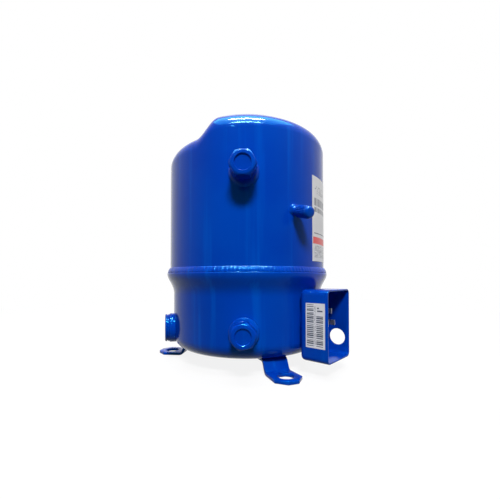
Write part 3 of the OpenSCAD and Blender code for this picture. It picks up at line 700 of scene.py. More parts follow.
@dataclass(frozen=True)
class Film(Finish):
    """White self-adhesive film with plain bars and blocks instead of words."""

    layout: Print = Print.SHELL
    paper: Colour = (0.72, 0.72, 0.73, 1)
    shade: Colour = (0.62, 0.62, 0.63, 1)
    ink: Colour = (0.06, 0.07, 0.1, 1)
    band: Colour = (0.75, 0.04, 0.04, 1)

    def dress(self, g: Graph) -> None:
        """Builds the print.

        Args:
            g: the material's empty graph.
        """
        uv = g.node("ShaderNodeTexCoord", out="UV")
        split = g.node("ShaderNodeSeparateXYZ", None, {0: uv})
        u, v = split, Wire(g, split.socket.node.outputs[1])
        here = g.place()

        def strokes(along: Wire, rows: float) -> Wire:
            """Gives bars of uneven width.

            Args:
                along: the direction that they are spaced along.
                rows: how many there are.

            Returns:
                1 on a bar and 0 between them.
            """
            cell = (along * rows).floor()
            pick = g.node("ShaderNodeTexWhiteNoise", {"noise_dimensions": "1D"}, {"W": cell})
            return (along * rows - cell - 0.5 * pick) < 0.28

        def lines(rows: float, columns: float, share: float) -> Wire:
            """Gives rows of short dashes.

            Args:
                rows: how many rows there are.
                columns: how many places there are in a row.
                share: how many of the places are filled.

            Returns:
                1 on a dash and 0 elsewhere.
            """
            cell = g.node("ShaderNodeCombineXYZ", None, {0: (u * columns).floor(), 1: (v * rows).floor()})
            pick = g.node("ShaderNodeTexWhiteNoise", {"noise_dimensions": "2D"}, {"Vector": cell}) > (1 - share)
            phase = v * rows - (v * rows).floor()
            return pick * (phase < 0.5)

        base = g.mix(g.noise(here, 45.0, 3.0).ease(0.35, 0.75) * 0.3, self.paper, self.shade)
        if self.layout is Print.SHELL:
            bars = strokes(u, 30.0) * u.within(0.06, 0.55) * (v.within(0.655, 0.745) + v.within(0.58, 0.635))
            words = lines(64.0, 60.0, 0.62) * u.within(0.06, 0.8) * v.within(0.04, 0.19) * 0.75
            words = words + lines(40.0, 40.0, 0.5) * u.within(0.08, 0.5) * v.within(0.8, 0.9) * 0.7
            words = words + u.within(0.05, 0.95) * v.within(0.325, 0.335)
            colour = g.mix(v.within(0.205, 0.285) * u.within(0.02, 0.98), base, self.band)
            colour = g.mix(bars + words, colour, self.ink)
        else:
            bars = strokes(v, 23.0) * (u.within(0.06, 0.42) * v.within(0.03, 0.97)
                                            + u.within(0.56, 0.9) * v.within(0.03, 0.72))
            words = lines(70.0, 26.0, 0.6) * u.within(0.45, 0.53) * v.within(0.06, 0.94) * 0.8
            words = words + u.within(0.6, 0.88) * v.within(0.8, 0.93) * lines(16.0, 10.0, 0.7)
            colour = g.mix(bars + words, base, self.ink)
        g.surface(Base_Color=colour, Roughness=0.34 + 0.1 * g.noise(here, 130.0), Coat_Weight=0.2,
                  Coat_Roughness=0.12, Normal=g.bump(g.noise(here, 160.0), 0.05, 0.0004))


ENAMEL = Enamel("gloss_blue_enamel")
EDGE_WEAR_AND_HIGHLIGHT = Enamel("gloss_blue_enamel_edge_wear_and_highlight", edge_wear_and_highlight=True, peel=0.08)
BEAD = Enamel("gloss_blue_enamel_on_weld", peel=0.25)
PLATED = Metal("bright_zinc_plate", (0.6, 0.61, 0.62, 1), 0.3)
GROUND = Metal("ground_tool_steel", (0.52, 0.53, 0.55, 1), 0.2, (1, 1, 30), 300.0, 0.12)
SHEETS = Metal("stacked_sheet_steel", (0.3, 0.31, 0.33, 1), 0.42, (0.02, 0.02, 8.0), 250.0, 0.35, 0.6)
ALLOY = Metal("cast_alloy", (0.72, 0.73, 0.75, 1), 0.38, (1, 1, 1), 420.0, 0.2, 0.25)
BRONZE = Metal("sintered_bronze", (0.55, 0.34, 0.13, 1), 0.4, (1, 1, 1), 700.0, 0.4, 0.3)
BRASS = Metal("turned_brass", (0.75, 0.53, 0.18, 1), 0.22, (1, 1, 14))
COPPER = Metal("drawn_copper", (0.76, 0.36, 0.2, 1), 0.26, (6, 6, 1), 160.0, 0.35)
WIRE = Metal("varnished_wire", (0.55, 0.22, 0.08, 1), 0.34, (1, 1, 0.3), 330.0, 0.3, 0.8)
IRON = Casting("grey_iron")
GASKET = Casting("pressed_board", (0.3, 0.2, 0.13, 1), 0.0, 0.75, 700.0)
RUBBER = Moulded("black_seal_rubber", (0.02, 0.02, 0.02, 1), 0.55)
IVORY = Moulded("ivory_moulding", (0.78, 0.74, 0.6, 1), 0.42)
SLEEVE = Moulded("red_sleeving", (0.45, 0.04, 0.035, 1), 0.5)
LENS = Glass("clear_lens")
BEADGLASS = Glass("green_bead_glass", (0.1, 0.32, 0.24, 1), 0.35)
BY_SLOT: dict[str, Finish] = {
    "blue_paint": ENAMEL, "plated_steel": PLATED, "ground_steel": GROUND, "grey_casting": IRON,
    "lamination_steel": SHEETS, "piston_alloy": ALLOY, "bearing_bronze": BRONZE, "valve_brass": BRASS,
    "copper_tube": COPPER, "copper_wire": WIRE, "black_rubber": RUBBER, "gasket_board": GASKET,
    "ivory_plastic": IVORY, "lead_insulation": SLEEVE, "bead_glass": BEADGLASS, "sight_glass": LENS}


class Shows(Enum):
    """Which rays see a lamp."""

    GLOSS = "gloss"
    MATT = "matt"


@dataclass
class Studio:
    """Camera at the photograph's place, lamps for surfaces, lamps for reflections, pale floor, white surround."""

    camera_at: tuple[float, float, float] = (0.01484, -0.4473, 0.1156)
    camera_along: tuple[float, float, float] = (-0.0331, 0.9993, 0.0175)
    lens: float = 21.312
    shift: Point = (0.0059, 0.0466)
    fill: float = 0.14
    floor_tone: Colour = (0.85, 0.85, 0.85, 1)
    floor_bounce: Colour = (0.06, 0.06, 0.06, 1)

    def camera(self) -> None:
        """Adds the camera."""
        data = bpy.data.cameras.new("camera")
        data.lens, data.sensor_width = self.lens, 36.0
        data.shift_x, data.shift_y = self.shift
        data.clip_start = 0.01
        eye = bpy.data.objects.new("camera", data)
        eye.location = self.camera_at
        eye.rotation_euler = Vector(self.camera_along).to_track_quat("-Z", "Y").to_euler()
        bpy.context.scene.collection.objects.link(eye)
        bpy.context.scene.camera = eye

    def lamp(self, name: str, at: Sequence[float], to: Sequence[float], size: Point, power: float,
             shows: Shows, colour: Sequence[float] = (1, 1, 1)) -> None:
        """Adds one rectangular panel.

        Args:
            name: name of the lamp.
            at: its place.
            to: the point it faces.
            size: its width and height.
            power: its power in watts.
            shows: whether it lights surfaces or shows in reflections.
            colour: its colour.
        """
        data = bpy.data.lights.new(name, "AREA")
        data.shape, data.size, data.size_y, data.energy = "RECTANGLE", size[0], size[1], power
        data.color = colour
        lamp = bpy.data.objects.new(name, data)
        lamp.location = at
        lamp.rotation_euler = (Vector(to) - Vector(at)).to_track_quat("-Z", "Y").to_euler()
        lamp.visible_camera = False
        lamp.visible_diffuse = shows is Shows.MATT
        lamp.visible_glossy = shows is Shows.GLOSS
        bpy.context.scene.collection.objects.link(lamp)

    def surround(self) -> None:
        """Makes the world white to the eye and in reflections, and a soft fill for the rest."""
        world = bpy.data.worlds.new("surround")
        bpy.context.scene.world = world
        g = Graph(world)
        white = g.node("ShaderNodeBackground", None, {"Color": WHITE, "Strength": 1.0})
        soft = g.node("ShaderNodeBackground", None, {"Color": (0.96, 0.98, 1, 1), "Strength": self.fill})
        g.output(g.blended(g.shown(), soft, white), "ShaderNodeOutputWorld")

    def floor(self) -> None:
        """Adds the floor: white to the eye, with the object's shadow on it."""
        Bench.rest()
        bpy.ops.mesh.primitive_grid_add(x_subdivisions=8, y_subdivisions=8, size=14)
        floor = bpy.context.object
        floor.name = "floor"
        sheet = bpy.data.materials.new("pale_floor")
        g = Graph(sheet)
        own = g.node("ShaderNodeTexCoord", out="Object")
        out = g.node("ShaderNodeVectorMath", {"operation": "LENGTH"}, {0: own}, "Value")
        tone = g.mix(g.noise(own, 3.0), self.floor_tone, toned(self.floor_tone, 0.97))
        matt = g.node("ShaderNodeBsdfDiffuse", None, {"Color": tone})
        dark = g.node("ShaderNodeBsdfDiffuse", None, {"Color": self.floor_bounce})
        white = g.node("ShaderNodeEmission", None, {"Color": WHITE, "Strength": 1.0})
        near = g.blended(0.87 + 0.13 * out.ease(0.3, 1.1), matt, white)
        g.output(g.blended(g.shown(), dark, near))
        floor.data.materials.append(sheet)

    def build(self) -> None:
        """Sets up the whole studio."""
        bpy.context.scene.view_settings.view_transform = "Standard"
        self.camera()
        self.surround()
        self.floor()
        self.lamp("key", (0.1, -1.3, 1.3), (0.0, -0.1, 0.24), (0.4, 0.25), 30.5, Shows.MATT)
        self.lamp("over", (0.0, -0.3, 1.5), (0.0, -0.1, 0.3), (0.62, 0.3), 8.0, Shows.MATT)
        for side, name in ((-1, "back_left"), (1, "back_right")):
            self.lamp(name, (side * 0.9, 1.5, 1.1), (0.0, 0.0, 0.2), (0.6, 0.6), 17.0, Shows.MATT)
        self.lamp("panel_above", (0.0, -0.26, 1.5), (0.0, -0.1, 0.3), (0.62, 0.07), 50.0, Shows.GLOSS)
        self.lamp("panel_front", (0.0, -0.9, 1.5), (0.0, -0.1, 0.25), (0.82, 0.07), 50.0, Shows.GLOSS)
        self.lamp("ceiling", (0.0, -0.5, 2.1), (0.0, -0.5, 0.0), (2.4, 2.0), 120.0, Shows.GLOSS, (0.12, 0.75, 1.0))
        self.lamp("bulb", (-0.37, -1.15, 1.06), (0.0, -0.1, 0.29), (0.08, 0.05), 1.2, Shows.GLOSS)
        LOG.info("studio: camera, floor, surround and eight lamps")


@dataclass
class ShellAssembly:
    """Drawn upper shell with its stepped top, belled pan, belly weld and the holes in them."""

    radius: float = 0.112
    wall: float = 0.004
    lap_z: float = 0.1175
    join_z: float = 0.262
    low: Dish = (0.270, 0.022, 0.220)
    high: Dish = (0.289, 0.023, 0.180)
    step_x: float = -0.046
    step_w: float = 0.029
    pan_r: float = 0.107
    pan_z: float = 0.0185
    pan_corner: float = 0.019
    bell_in: float = 0.1123
    bell_z: float = 0.123
    taper: Point = (0.092, 0.1208)
    neck_z: Point = (0.097, 0.117)
    weld_h: float = 0.0065
    ripple: Point = (0.00012, 0.00010)
    cap_hole: tuple[float, float, float] = (0.0131, 0.0, 0.237)
    pan_holes: tuple[tuple[float, float, float], ...] = ((0.0131, 0.0, 0.053), (0.0141, -73.0, 0.046),
                                                         (0.0171, 50.5, 0.066))
    steps: int = 192

    @staticmethod
    def drill(hole: tuple[float, float, float]) -> Piece:
        """Makes the rod for a hole of a radius, a turn and a height through the wall."""
        return Bench.rod(hole[0], 0.09, 0.13, radial(hole[1], hole[2]))

    def dish(self, r: float, form: Dish) -> float:
        """Gives the height of a dished end.

        Args:
            r: distance from the axis.
            form: height of the rim, knuckle radius and crown radius.

        Returns:
            The height there.
        """
        rim, knuckle, crown = form
        k = self.radius - knuckle
        centre = rim - math.sqrt((crown - knuckle) ** 2 - k * k)
        if r < k * crown / (crown - knuckle):
            return centre + math.sqrt(crown * crown - r * r)
        return rim + math.sqrt(max(0.0, knuckle * knuckle - (r - k) ** 2))

    def top(self, x: float, r: float) -> float:
        """Gives the height of the stepped top, eased across the step.

        Args:
            x: place across the step.
            r: distance from the axis.

        Returns:
            The height there.
        """
        share = smooth(min(1.0, max(0.0, (x - self.step_x) / self.step_w + 0.5)))
        r = min(r, self.radius)
        return (1 - share) * self.dish(r, self.low) + share * self.dish(r, self.high)

    def upper(self) -> None:
        """Turns the upper shell, presses its step and pierces it."""
        rows = 44
        wall = [(self.radius, self.lap_z + (self.join_z - self.lap_z) * i / 6) for i in range(7)]
        radii = [self.radius * (1 - (i / rows) ** 2) for i in range(rows + 1)]
        piece = Bench.turned("upper_skin", wall + [(r, self.dish(r, self.high)) for r in radii], self.steps)
        for point in piece.data.vertices:
            if point.co.z > self.join_z + 2 * MM:
                point.co.z = self.top(point.co.x, math.hypot(point.co.x, point.co.y))
        Bench.sheeted(piece, self.wall)
        Bench.cut(piece, self.drill(self.cap_hole), Bench.rod(0.0046, -0.012, 0.012, ServiceValve().axes()))
        Bench.done(piece, ENAMEL, "shell", "blue_paint", "upper_shell")

    def pan_outline(self, grow: float = 0.0) -> list[Point]:
        """Gives the pan's outside half section up to the taper, grown by a clearance."""
        r, z, corner = self.pan_r + grow, self.pan_z - grow, self.pan_corner + grow
        return [(0.0, z)] + arc((r - corner, z + corner), corner, -90, 0, 14) + [(r, self.taper[0])]

    def pan_form(self) -> Piece:
        """Makes the solid that pieces on the pan are coped to."""
        line = self.pan_outline(0.0001)
        return Bench.turned("pan_form", line + [(0.0, line[-1][1])], 128)

    def lower(self) -> None:
        """Turns the pan with its belled rim and pierces it."""
        low, top = self.taper
        bell, inner = self.bell_in + self.wall, self.pan_r - self.wall
        corner = self.pan_corner - self.wall
        shares = [i / 20 for i in range(20)]
        outer = [(self.pan_r + (bell - self.pan_r) * smooth(t ** 1.3), low + (top - low) * t) for t in shares]
        rim = rounded([(bell, top), (bell, self.bell_z), (self.bell_in, self.bell_z), (self.bell_in, self.neck_z[1])],
                      [0.0018, 0.0006], 4)
        neck = [(inner + (self.bell_in - inner) * (1 + math.cos(math.pi * i / 12)) / 2,
                 self.neck_z[1] + (self.neck_z[0] - self.neck_z[1]) * i / 12) for i in range(1, 13)]
        inside = arc((inner - corner, self.pan_z + self.wall + corner), corner, 0, -90, 12)
        line = self.pan_outline()[:-1] + outer + rim + neck + inside + [(0.0, self.pan_z + self.wall)]
        piece = Bench.turned("pan_skin", line, self.steps)
        Bench.cut(piece, *map(self.drill, self.pan_holes))
        Bench.done(piece, ENAMEL, "shell", "blue_paint", "lower_shell")

    def weld(self) -> None:
        """Turns the belly weld and ripples its face."""
        inner, outer, z = self.radius + 0.0001, self.bell_in + self.wall - 0.0006, self.bell_z + 0.0001
        face = [(inner + (outer - inner) * abs(math.cos(math.radians(t))) ** 1.5,
                 z + self.weld_h * math.sin(math.radians(t)) ** 1.5) for t in range(0, 91, 15)]
        piece = Bench.turned("belly_bead", [(inner, z)] + face + [(inner, z)], 900)
        for point in piece.data.vertices:
            out = math.hypot(point.co.x, point.co.y)
            if out > inner + 0.3 * MM:
                a = math.atan2(point.co.y, point.co.x)
                wave = math.sin(150 * a) + 0.5 * math.sin(97 * a + 1.3) + 0.4 * math.sin(23 * a + 0.4)
                push = 1 + self.ripple[0] * wave / out
                point.co.x *= push
                point.co.y *= push
                point.co.z += self.ripple[1] * wave
        Bench.done(piece, BEAD, "shell", "blue_paint", "belly_weld")

    def build(self) -> None:
        """Builds all of the shell."""
        self.upper()
        self.lower()
        self.weld()


@dataclass
class FootSet:
    """Three bent straps under the pan: modelled once and copied."""

    turns: tuple[tuple[str, float], ...] = (("front_foot", 24.0), ("left_foot", -96.0), ("rear_foot", 144.0))
    root: float = 0.042
    bend: float = 0.091
    heel: float = 0.098
    toe: float = 0.1355
    top: float = 0.0185
    thick: float = 0.004
    strap: float = 0.0165
    plate: float = 0.018
    clip: float = 0.0115
    hole_at: float = 0.1175
    hole_r: float = 0.0095

    def half_width(self, x: float) -> float:
        """Gives half the strap's width.

        Args:
            x: distance from the shell axis.

        Returns:
            The half width there.
        """
        if x <= self.heel:
            return self.strap
        start = self.toe - self.clip
        if x <= start:
            return self.strap + (self.plate - self.strap) * (x - self.heel) / (start - self.heel)
        return self.plate - (x - start)

    def strip(self) -> Piece:
        """Draws the strap as a sheet, thickens it, bores it and eases its edges.

        Returns:
            One foot that points along +X.
        """
        side = rounded([(self.root, self.top), (self.bend, self.top), (self.heel, self.thick), (self.toe, self.thick)],
                       [0.0075, 0.0045], 6)
        side[-1:-1] = [(x, self.thick) for x in (0.108, self.toe - self.clip, self.toe - 0.003)]
        piece = Bench.point("foot", (side[0][0], -self.strap, side[0][1]))
        bpy.ops.mesh.extrude_vertices_move(TRANSFORM_OT_translate={"value": (0, 2 * self.strap, 0)})
        bpy.ops.mesh.select_all(action="SELECT")
        for (x0, z0), (x1, z1) in zip(side, side[1:]):
            bpy.ops.mesh.extrude_region_move(TRANSFORM_OT_translate={"value": (x1 - x0, 0, z1 - z0)})
            bpy.ops.transform.resize(value=(1, self.half_width(x1) / self.half_width(x0), 1),
                                     center_override=(x1, 0, z1))
        Bench.tidy(piece)
        if piece.data.polygons[0].normal.z < 0:
            Bench.edit(piece)
            bpy.ops.mesh.flip_normals()
            Bench.rest()
        Bench.sheeted(piece, self.thick)
        Bench.cut(piece, Bench.rod(self.hole_r, -0.002, 0.006, Matrix.Translation((self.hole_at, 0, 0)), 64))
        Bench.eased(piece, 0.0009, 3, 40)
        return piece

    def build(self) -> None:
        """Copies the strap to its three places."""
        master = self.strip()
        for name, turn in self.turns:
            Bench.take(master)
            bpy.ops.object.duplicate()
            piece = bpy.context.object
            piece.name = name + "_strap"
            Bench.placed(piece, Matrix.Rotation(math.radians(turn - 90), 4, "Z"))
            Bench.done(piece, EDGE_WEAR_AND_HIGHLIGHT, "shell", "blue_paint", name)
        bpy.data.objects.remove(master, do_unlink=True)


class Port(Enum):
    """The two ports: height, reach of the cap's face, radius of the wall, turn of the hexagon."""

    SUCTION = ("suction", 0.237, 0.142, 0.112, 0.0)
    DISCHARGE = ("discharge", 0.053, 0.1355, 0.107, 13.5)


@dataclass
class PortAssembly:
    """Welded stub with a threaded nose, sealing washer and hexagonal transport cap."""

    port: Port
    stub_r: float = 0.013
    nose_r: float = 0.0105
    bore_r: float = 0.007
    nose_l: float = 0.0119
    cap_l: float = 0.019
    cap_af: float = 0.027
    cap_bore: float = 0.0111
    cap_end: float = 0.005
    recess_r: float = 0.0089
    recess: float = 0.002
    grooves: int = 6
    groove: Point = (0.0015, 0.0004)
    flare_in: float = 0.0132
    flare_r: float = 0.0178
    flare_h: float = 0.0056

    def __post_init__(self) -> None:
        """Reads the port's own sizes."""
        self.label, self.z, self.reach, self.wall_r, self.turn = self.port.value
        self.axes = radial(0, self.z)
        self.shoulder = self.reach - self.cap_l - 0.0003

    def stub(self, shell: ShellAssembly) -> None:
        """Turns the stub, copes its weld flare to the wall and joins them.

        Args:
            shell: the shell that it stands on.
        """
        root = self.wall_r - 0.010
        end = self.shoulder + self.nose_l
        line = [(self.bore_r, root), (self.stub_r, root)]
        line += rounded([(self.stub_r, root), (self.stub_r, self.shoulder), (self.nose_r, self.shoulder)],
                        [0.0006], 3)[1:]
        pitch, depth = self.groove
        for i in range(self.grooves):
            z = self.shoulder + 0.0014 + pitch * i
            line += [(self.nose_r - depth, z - 0.0007), (self.nose_r, z), (self.nose_r, z + 0.0002)]
        line += [(self.nose_r, end - 0.001), (self.nose_r - 0.0009, end), (self.bore_r, end), (self.bore_r, root)]
        piece = Bench.turned(self.label + "_neck", line, 96, self.axes)
        foot, wide = self.wall_r, self.flare_r
        flare = [(self.flare_in, foot - 0.012), (wide, foot - 0.012), (wide, foot + 0.0004)]
        if self.port is Port.DISCHARGE:
            flare += arc((wide - 0.0022, foot + 0.0026), 0.0022, 0, 80, 5) + [(0.0140, foot + self.flare_h)]
            wall = shell.pan_form()
        else:
            flare += [(0.0164, foot + 0.0016), (0.0152, foot + 0.0032), (0.0142, foot + self.flare_h)]
            wall = Bench.rod(foot + 0.0001, 0.15, 0.3, Matrix(), 256)
        flare += [(self.flare_in, self.shoulder - 0.001), (self.flare_in, foot - 0.012)]
        collar = Bench.turned(self.label + "_flare", flare, 96, self.axes)
        Bench.cut(collar, wall)
        Bench.join(piece, collar)
        Bench.done(piece, ENAMEL, "shell", "blue_paint", self.label + "_stub")

    def seal(self) -> None:
        """Turns the sealing washer."""
        low = self.shoulder + self.nose_l
        line = washer(self.bore_r, 0.010, low, low + 0.0015)
        Bench.done(Bench.turned(self.label + "_washer", line, 64, self.axes), RUBBER, "shell", "black_rubber",
                   self.label + "_seal")

    def cap(self) -> None:
        """Makes the cap from a hexagon bar that is turned at the end, recessed and bored."""
        flat, face, base = self.cap_af / 2, self.reach, self.reach - self.cap_l
        corner = flat / math.cos(math.pi / 6)
        piece = Bench.rod(corner, base, face, Matrix.Rotation(math.radians(self.turn + 30), 4, "Z"), 6)
        piece.name = self.label + "_hexagon"
        Bench.eased(piece, 0.0009, 3, 40)
        outline = [(0, base), (corner - 0.0004, base), (corner + 0.001, base + 0.0012), (corner + 0.001, face - 0.0034),
                   (flat + 0.0004, face - 0.0011), (flat - 0.0005, face - 0.0003), (flat - 0.0014, face), (0, face)]
        Bench.cut(piece, Bench.turned("crop", outline), how="INTERSECT")
        r, low = self.recess_r, face - self.recess
        recess = [(0, low), (r - 0.0003, low), (r, low + 0.0004), (r, face - 0.0005), (r + 0.0006, face + 0.0002),
                  (0, face + 0.0002)]
        end = face - self.cap_end
        inside = [(0, base - 0.001), (self.cap_bore, base - 0.001), (self.cap_bore, end), (0, end)]
        Bench.cut(piece, Bench.turned("recess", recess), Bench.turned("inside", inside))
        Bench.placed(piece, self.axes)
        Bench.done(piece, EDGE_WEAR_AND_HIGHLIGHT, self.label + "_cap", "blue_paint", self.label + "_cap")

    def build(self, shell: ShellAssembly) -> None:
        """Builds the port.

        Args:
            shell: the shell that it stands on.
        """
        self.stub(shell)
        self.seal()
        self.cap()


@dataclass
class SightGlass:
    """Oil sight glass low on the left: coped boss, clamped ring, lens and seal."""

    turn: float = -73.0
    z: float = 0.046
    seat: float = 0.113
    face: float = 0.119
    boss_r: float = 0.01975
    ring_r: float = 0.01875
    spigot_r: float = 0.014
    lens_r: float = 0.010
    lens_l: float = 0.004
    step: float = 0.0055
    boss_in: float = 0.0142
    boss_root: float = 0.080
    spigot_in: float = 0.008
    spigot_root: float = 0.099
    ring_in: float = 0.0085

    def __post_init__(self) -> None:
        """Works out the glass's axes."""
        self.axes = radial(self.turn, self.z)

    def boss(self, shell: ShellAssembly) -> None:
        """Turns the boss, copes it to the pan and joins the spigot.

        Args:
            shell: the shell that it stands on.
        """
        inner, root = self.boss_in, self.boss_root
        line = [(inner, root), (self.boss_r, root)]
        line += rounded([(self.boss_r, root), (self.boss_r, self.seat), (inner, self.seat)], [0.0012], 4)[1:]
        collar = Bench.turned("sight_collar", line + [line[0]], 96, self.axes)
        Bench.cut(collar, shell.pan_form())
        inner, root, step, end = self.spigot_in, self.spigot_root, self.seat - self.step, self.seat - 0.0002
        outer, seat = self.spigot_r + 0.0003, self.lens_r + 0.0001
        line = [(inner, root), (outer, root), (outer, end), (seat, end), (seat, step), (inner, step), (inner, root)]
        piece = Bench.turned("sight_spigot", line, 96, self.axes)
        Bench.join(piece, collar)
        piece.name = "sight_boss_welded"
        Bench.done(piece, ENAMEL, "shell", "blue_paint", "sight_boss")

    def ring(self) -> None:
        """Turns the clamped ring with its grooves."""
        a, b, r, inner = self.seat, self.face, self.ring_r, self.ring_in
        line = [(inner, a), (r - 0.0006, a), (r, a + 0.0006), (r, a + 0.0017), (r - 0.0011, a + 0.0021),
                (r - 0.0011, a + 0.0027), (r, a + 0.0031), (r, b - 0.0013), (r - 0.0004, b - 0.0005), (r - 0.0013, b),
                (0.0135, b), (0.0128, b - 0.0005), (0.0115, b - 0.0012), (0.0088, b - 0.0012), (inner, b - 0.0015),
                (inner, a)]
        Bench.done(Bench.turned("sight_ring", line, 128, self.axes), ENAMEL, "shell", "plated_steel", "sight_body")

    def glass(self) -> None:
        """Turns the lens and its seal."""
        low, back, front, r = self.seat - self.step, self.seat - self.lens_l, self.seat, self.lens_r
        line = rounded([(0, back), (r, back), (r, front), (0, front)], [0.0005, 0.0008], 3)
        Bench.done(Bench.turned("sight_pane", line, 64, self.axes), LENS, "shell", "sight_glass", "sight_lens")
        line = washer(self.ring_in, r, low, back)
        Bench.done(Bench.turned("sight_washer", line, 64, self.axes), RUBBER, "shell", "black_rubber", "sight_seal")

    def build(self, shell: ShellAssembly) -> None:
        """Builds the sight glass.

        Args:
            shell: the shell that it stands on.
        """
        self.boss(shell)
        self.ring()
        self.glass()


@dataclass
class ServiceValve:
    """Drooping service stub with its weld fillet and a knurled round cap."""

    turn: float = 32.0
    z: float = 0.196
    tilt: float = 16.0
    shell_r: float = 0.112
    stub_r: float = 0.0045
    body_at: float = 0.014
    cap_r: float = 0.0075
    reach: float = 0.030

    def axes(self) -> Matrix:
        """Gives the valve's axes, local Z along it away from the shell."""
        return (radial(self.turn, self.z) @ Matrix.Translation((0, 0, self.shell_r))
                @ Matrix.Rotation(math.radians(self.tilt), 4, "X"))

    def stub(self) -> None:
        """Turns the stub with a weld fillet at its foot."""
        low, end, r = -0.007, self.body_at, self.stub_r
        line = [(r - 0.0015, low), (r, low), (r, -0.0026), (0.0078, -0.0026), (0.0078, 0.0002), (0.0072, 0.0012),
                (0.0060, 0.0020), (0.0052, 0.0031), (r, 0.0050), (r, end), (r - 0.0015, end), (r - 0.0015, low)]
        Bench.done(Bench.turned("service_neck", line, 48, self.axes()), ENAMEL, "shell", "blue_paint", "service_stub")

    def cap(self) -> None:
        """Turns the cap and knurls its grip."""
        low, r = self.body_at - 0.005, self.cap_r
        top = self.reach
        line = [(0.0048, low), (r - 0.0004, low), (r, low + 0.0004), (r, low + 0.0020), (r - 0.0004, low + 0.0024)]
        line += [(r - 0.0001, low + 0.0030 + 0.0012 * i) for i in range(11)]
        line += [(r - 0.0006, top - 0.0032), (r - 0.0012, top - 0.0014), (r - 0.0022, top - 0.0004), (r - 0.0034, top),
                 (0, top), (0, low + 0.0173), (0.0044, low + 0.0173), (0.0048, low + 0.0169), (0.0048, low)]
        piece = Bench.turned("service_knob", line, 144)
        for point in piece.data.vertices:
            out = math.hypot(point.co.x, point.co.y)
            if out > 0.0058 and low + 0.0028 < point.co.z < top - 0.0035:
                wave = 1 - 0.0003 / out * (1 - math.cos(24 * math.atan2(point.co.y, point.co.x)))
                point.co.x *= wave
                point.co.y *= wave
        Bench.placed(piece, self.axes())
        Bench.done(piece, EDGE_WEAR_AND_HIGHLIGHT, "service_cap", "blue_paint", "service_cap")

    def build(self) -> None:
        """Builds the service valve's painted pieces."""
        self.stub()
        self.cap()


@dataclass
class TerminalBox:
    """Pressed sheet box, open outwards, with a gland hole in its far wall."""

    turn: float = 50.5
    z: float = 0.060
    size: tuple[float, float, float] = (0.059, 0.084, 0.0365)
    back: float = 0.109
    wall: float = 0.002
    corner: float = 0.006
    hole_r: float = 0.0175
    hole_z: float = 0.066
    gland_r: float = 0.0102
    gland: Point = (0.130, 0.0405)

    def build(self) -> None:
        """Folds the box from a block, opens its face and pierces it."""
        wide, high, deep = self.size
        Bench.rest()
        bpy.ops.mesh.primitive_cube_add(size=1, location=(0, 0, self.back + deep / 2), scale=(wide, high, deep))
        piece = Bench.baked("terminal_housing")
        Bench.pick(piece, "FACE", lambda face: face.normal.z > 0.9)
        bpy.ops.mesh.delete(type="FACE")
        front = self.back + deep - 0.1 * MM
        Bench.pick(piece, "EDGE", lambda edge: any(piece.data.vertices[i].co.z <= front for i in edge.vertices))
        bpy.ops.mesh.bevel(offset=self.corner, segments=7, affect="EDGES", profile=0.5)
        bpy.ops.mesh.select_all(action="SELECT")
        bpy.ops.mesh.normals_make_consistent(inside=False)
        bpy.ops.mesh.select_mode(type="VERT")
        Bench.rest()
        Bench.sheeted(piece, self.wall)
        rear = Matrix.Translation((0, self.hole_z - self.z, 0))
        side = Matrix.Translation((0, self.gland[1] - self.z, self.gland[0])) @ Matrix.Rotation(math.pi / 2, 4, "Y")
        Bench.cut(piece, Bench.rod(self.hole_r, self.back - 0.002, self.back + 0.004, rear),
                  Bench.rod(self.gland_r, 0.015, 0.032, side))
        Bench.eased(piece, 0.0006, 2, 50)
        Bench.placed(piece, radial(self.turn, self.z))
        Bench.done(piece, EDGE_WEAR_AND_HIGHLIGHT, "shell", "blue_paint", "terminal_box")


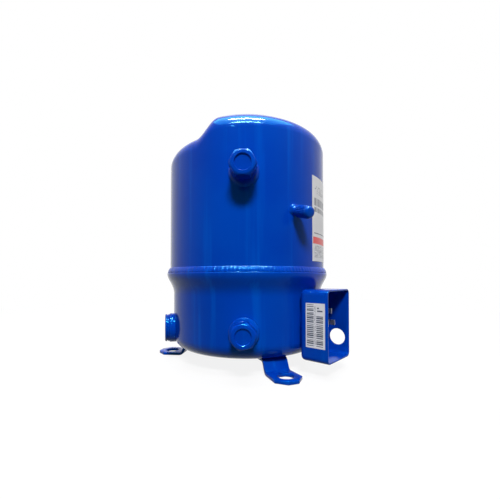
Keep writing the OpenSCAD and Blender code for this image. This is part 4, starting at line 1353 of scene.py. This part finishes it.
@dataclass
class Labels:
    """Plain film labels on the shell's right side and on the box's left wall."""

    shell_r: float = 0.1121
    shell_turn: Point = (49.0, 92.0)
    shell_z: Point = (0.137, 0.246)
    box_turn: float = 50.5
    box_side: float = -0.02955
    box_out: Point = (0.1178, 0.1421)
    box_z: Point = (0.0352, 0.0866)
    thick: float = 0.00012

    def lay(self, film: Film, name: str, faces: tuple[int, int], place: Callable[[float, float], Vector]) -> None:
        """Lays a sheet with its own map, from 0 to 1 both ways, on a surface.

        Args:
            film: its finish.
            name: name of the label.
            faces: faces across and along.
            place: gives the point of the surface for a place on the map.
        """
        Bench.rest()
        across, along = faces
        bpy.ops.mesh.primitive_grid_add(x_subdivisions=across, y_subdivisions=along, size=1, location=(0.5, 0.5, 0))
        piece = Bench.baked(name)
        for point in piece.data.vertices:
            point.co = place(point.co.x, point.co.y)
        Bench.sheeted(piece, self.thick, 1.0)
        Bench.done(piece, film, "shell", "blue_paint")

    def on_shell(self, u: float, v: float) -> Vector:
        """Gives a point of the label that is bent round the shell."""
        turn = math.radians(blend(self.shell_turn, u))
        return Vector((self.shell_r * math.sin(turn), -self.shell_r * math.cos(turn), blend(self.shell_z, v)))

    def on_box(self, u: float, v: float) -> Vector:
        """Gives a point of the label on the box's left wall."""
        return radial(self.box_turn, 0) @ Vector((self.box_side, blend(self.box_z, v), blend(self.box_out, u)))

    def build(self) -> None:
        """Lays both labels."""
        self.lay(Film("shell_film_print"), "shell_film", (36, 12), self.on_shell)
        self.lay(Film("box_film_print", Print.BOX), "box_film", (4, 8), self.on_box)


@dataclass
class InnerWorks:
    """Everything that keeps its CAD shape: motor, pump, terminal and valve pieces."""

    frame: dict[str, Any]

    def build(self) -> None:
        """Gives every shown node the finish of its slot."""
        for part in self.frame["record"]["subparts"]:
            node = self.frame["nodes"].get(part["node"])
            if node is None or node.hide_render:
                continue
            finish = BY_SLOT[part["material_slot"]]
            node.data.materials.clear()
            node.data.materials.append(finish.material())
            LOG.info("%s: finish %s", part["node"], finish.name)


def main() -> None:
    """Loads the frame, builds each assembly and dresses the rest."""
    logging.basicConfig(level=logging.INFO, format="%(name)s %(message)s")
    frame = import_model()
    Studio().build()
    shell = ShellAssembly()
    shell.build()
    FootSet().build()
    for port in Port:
        PortAssembly(port).build(shell)
    SightGlass().build(shell)
    ServiceValve().build()
    TerminalBox().build()
    Labels().build()
    InnerWorks(frame).build()
    Bench.rest()


if __name__ == "__main__":
    main()
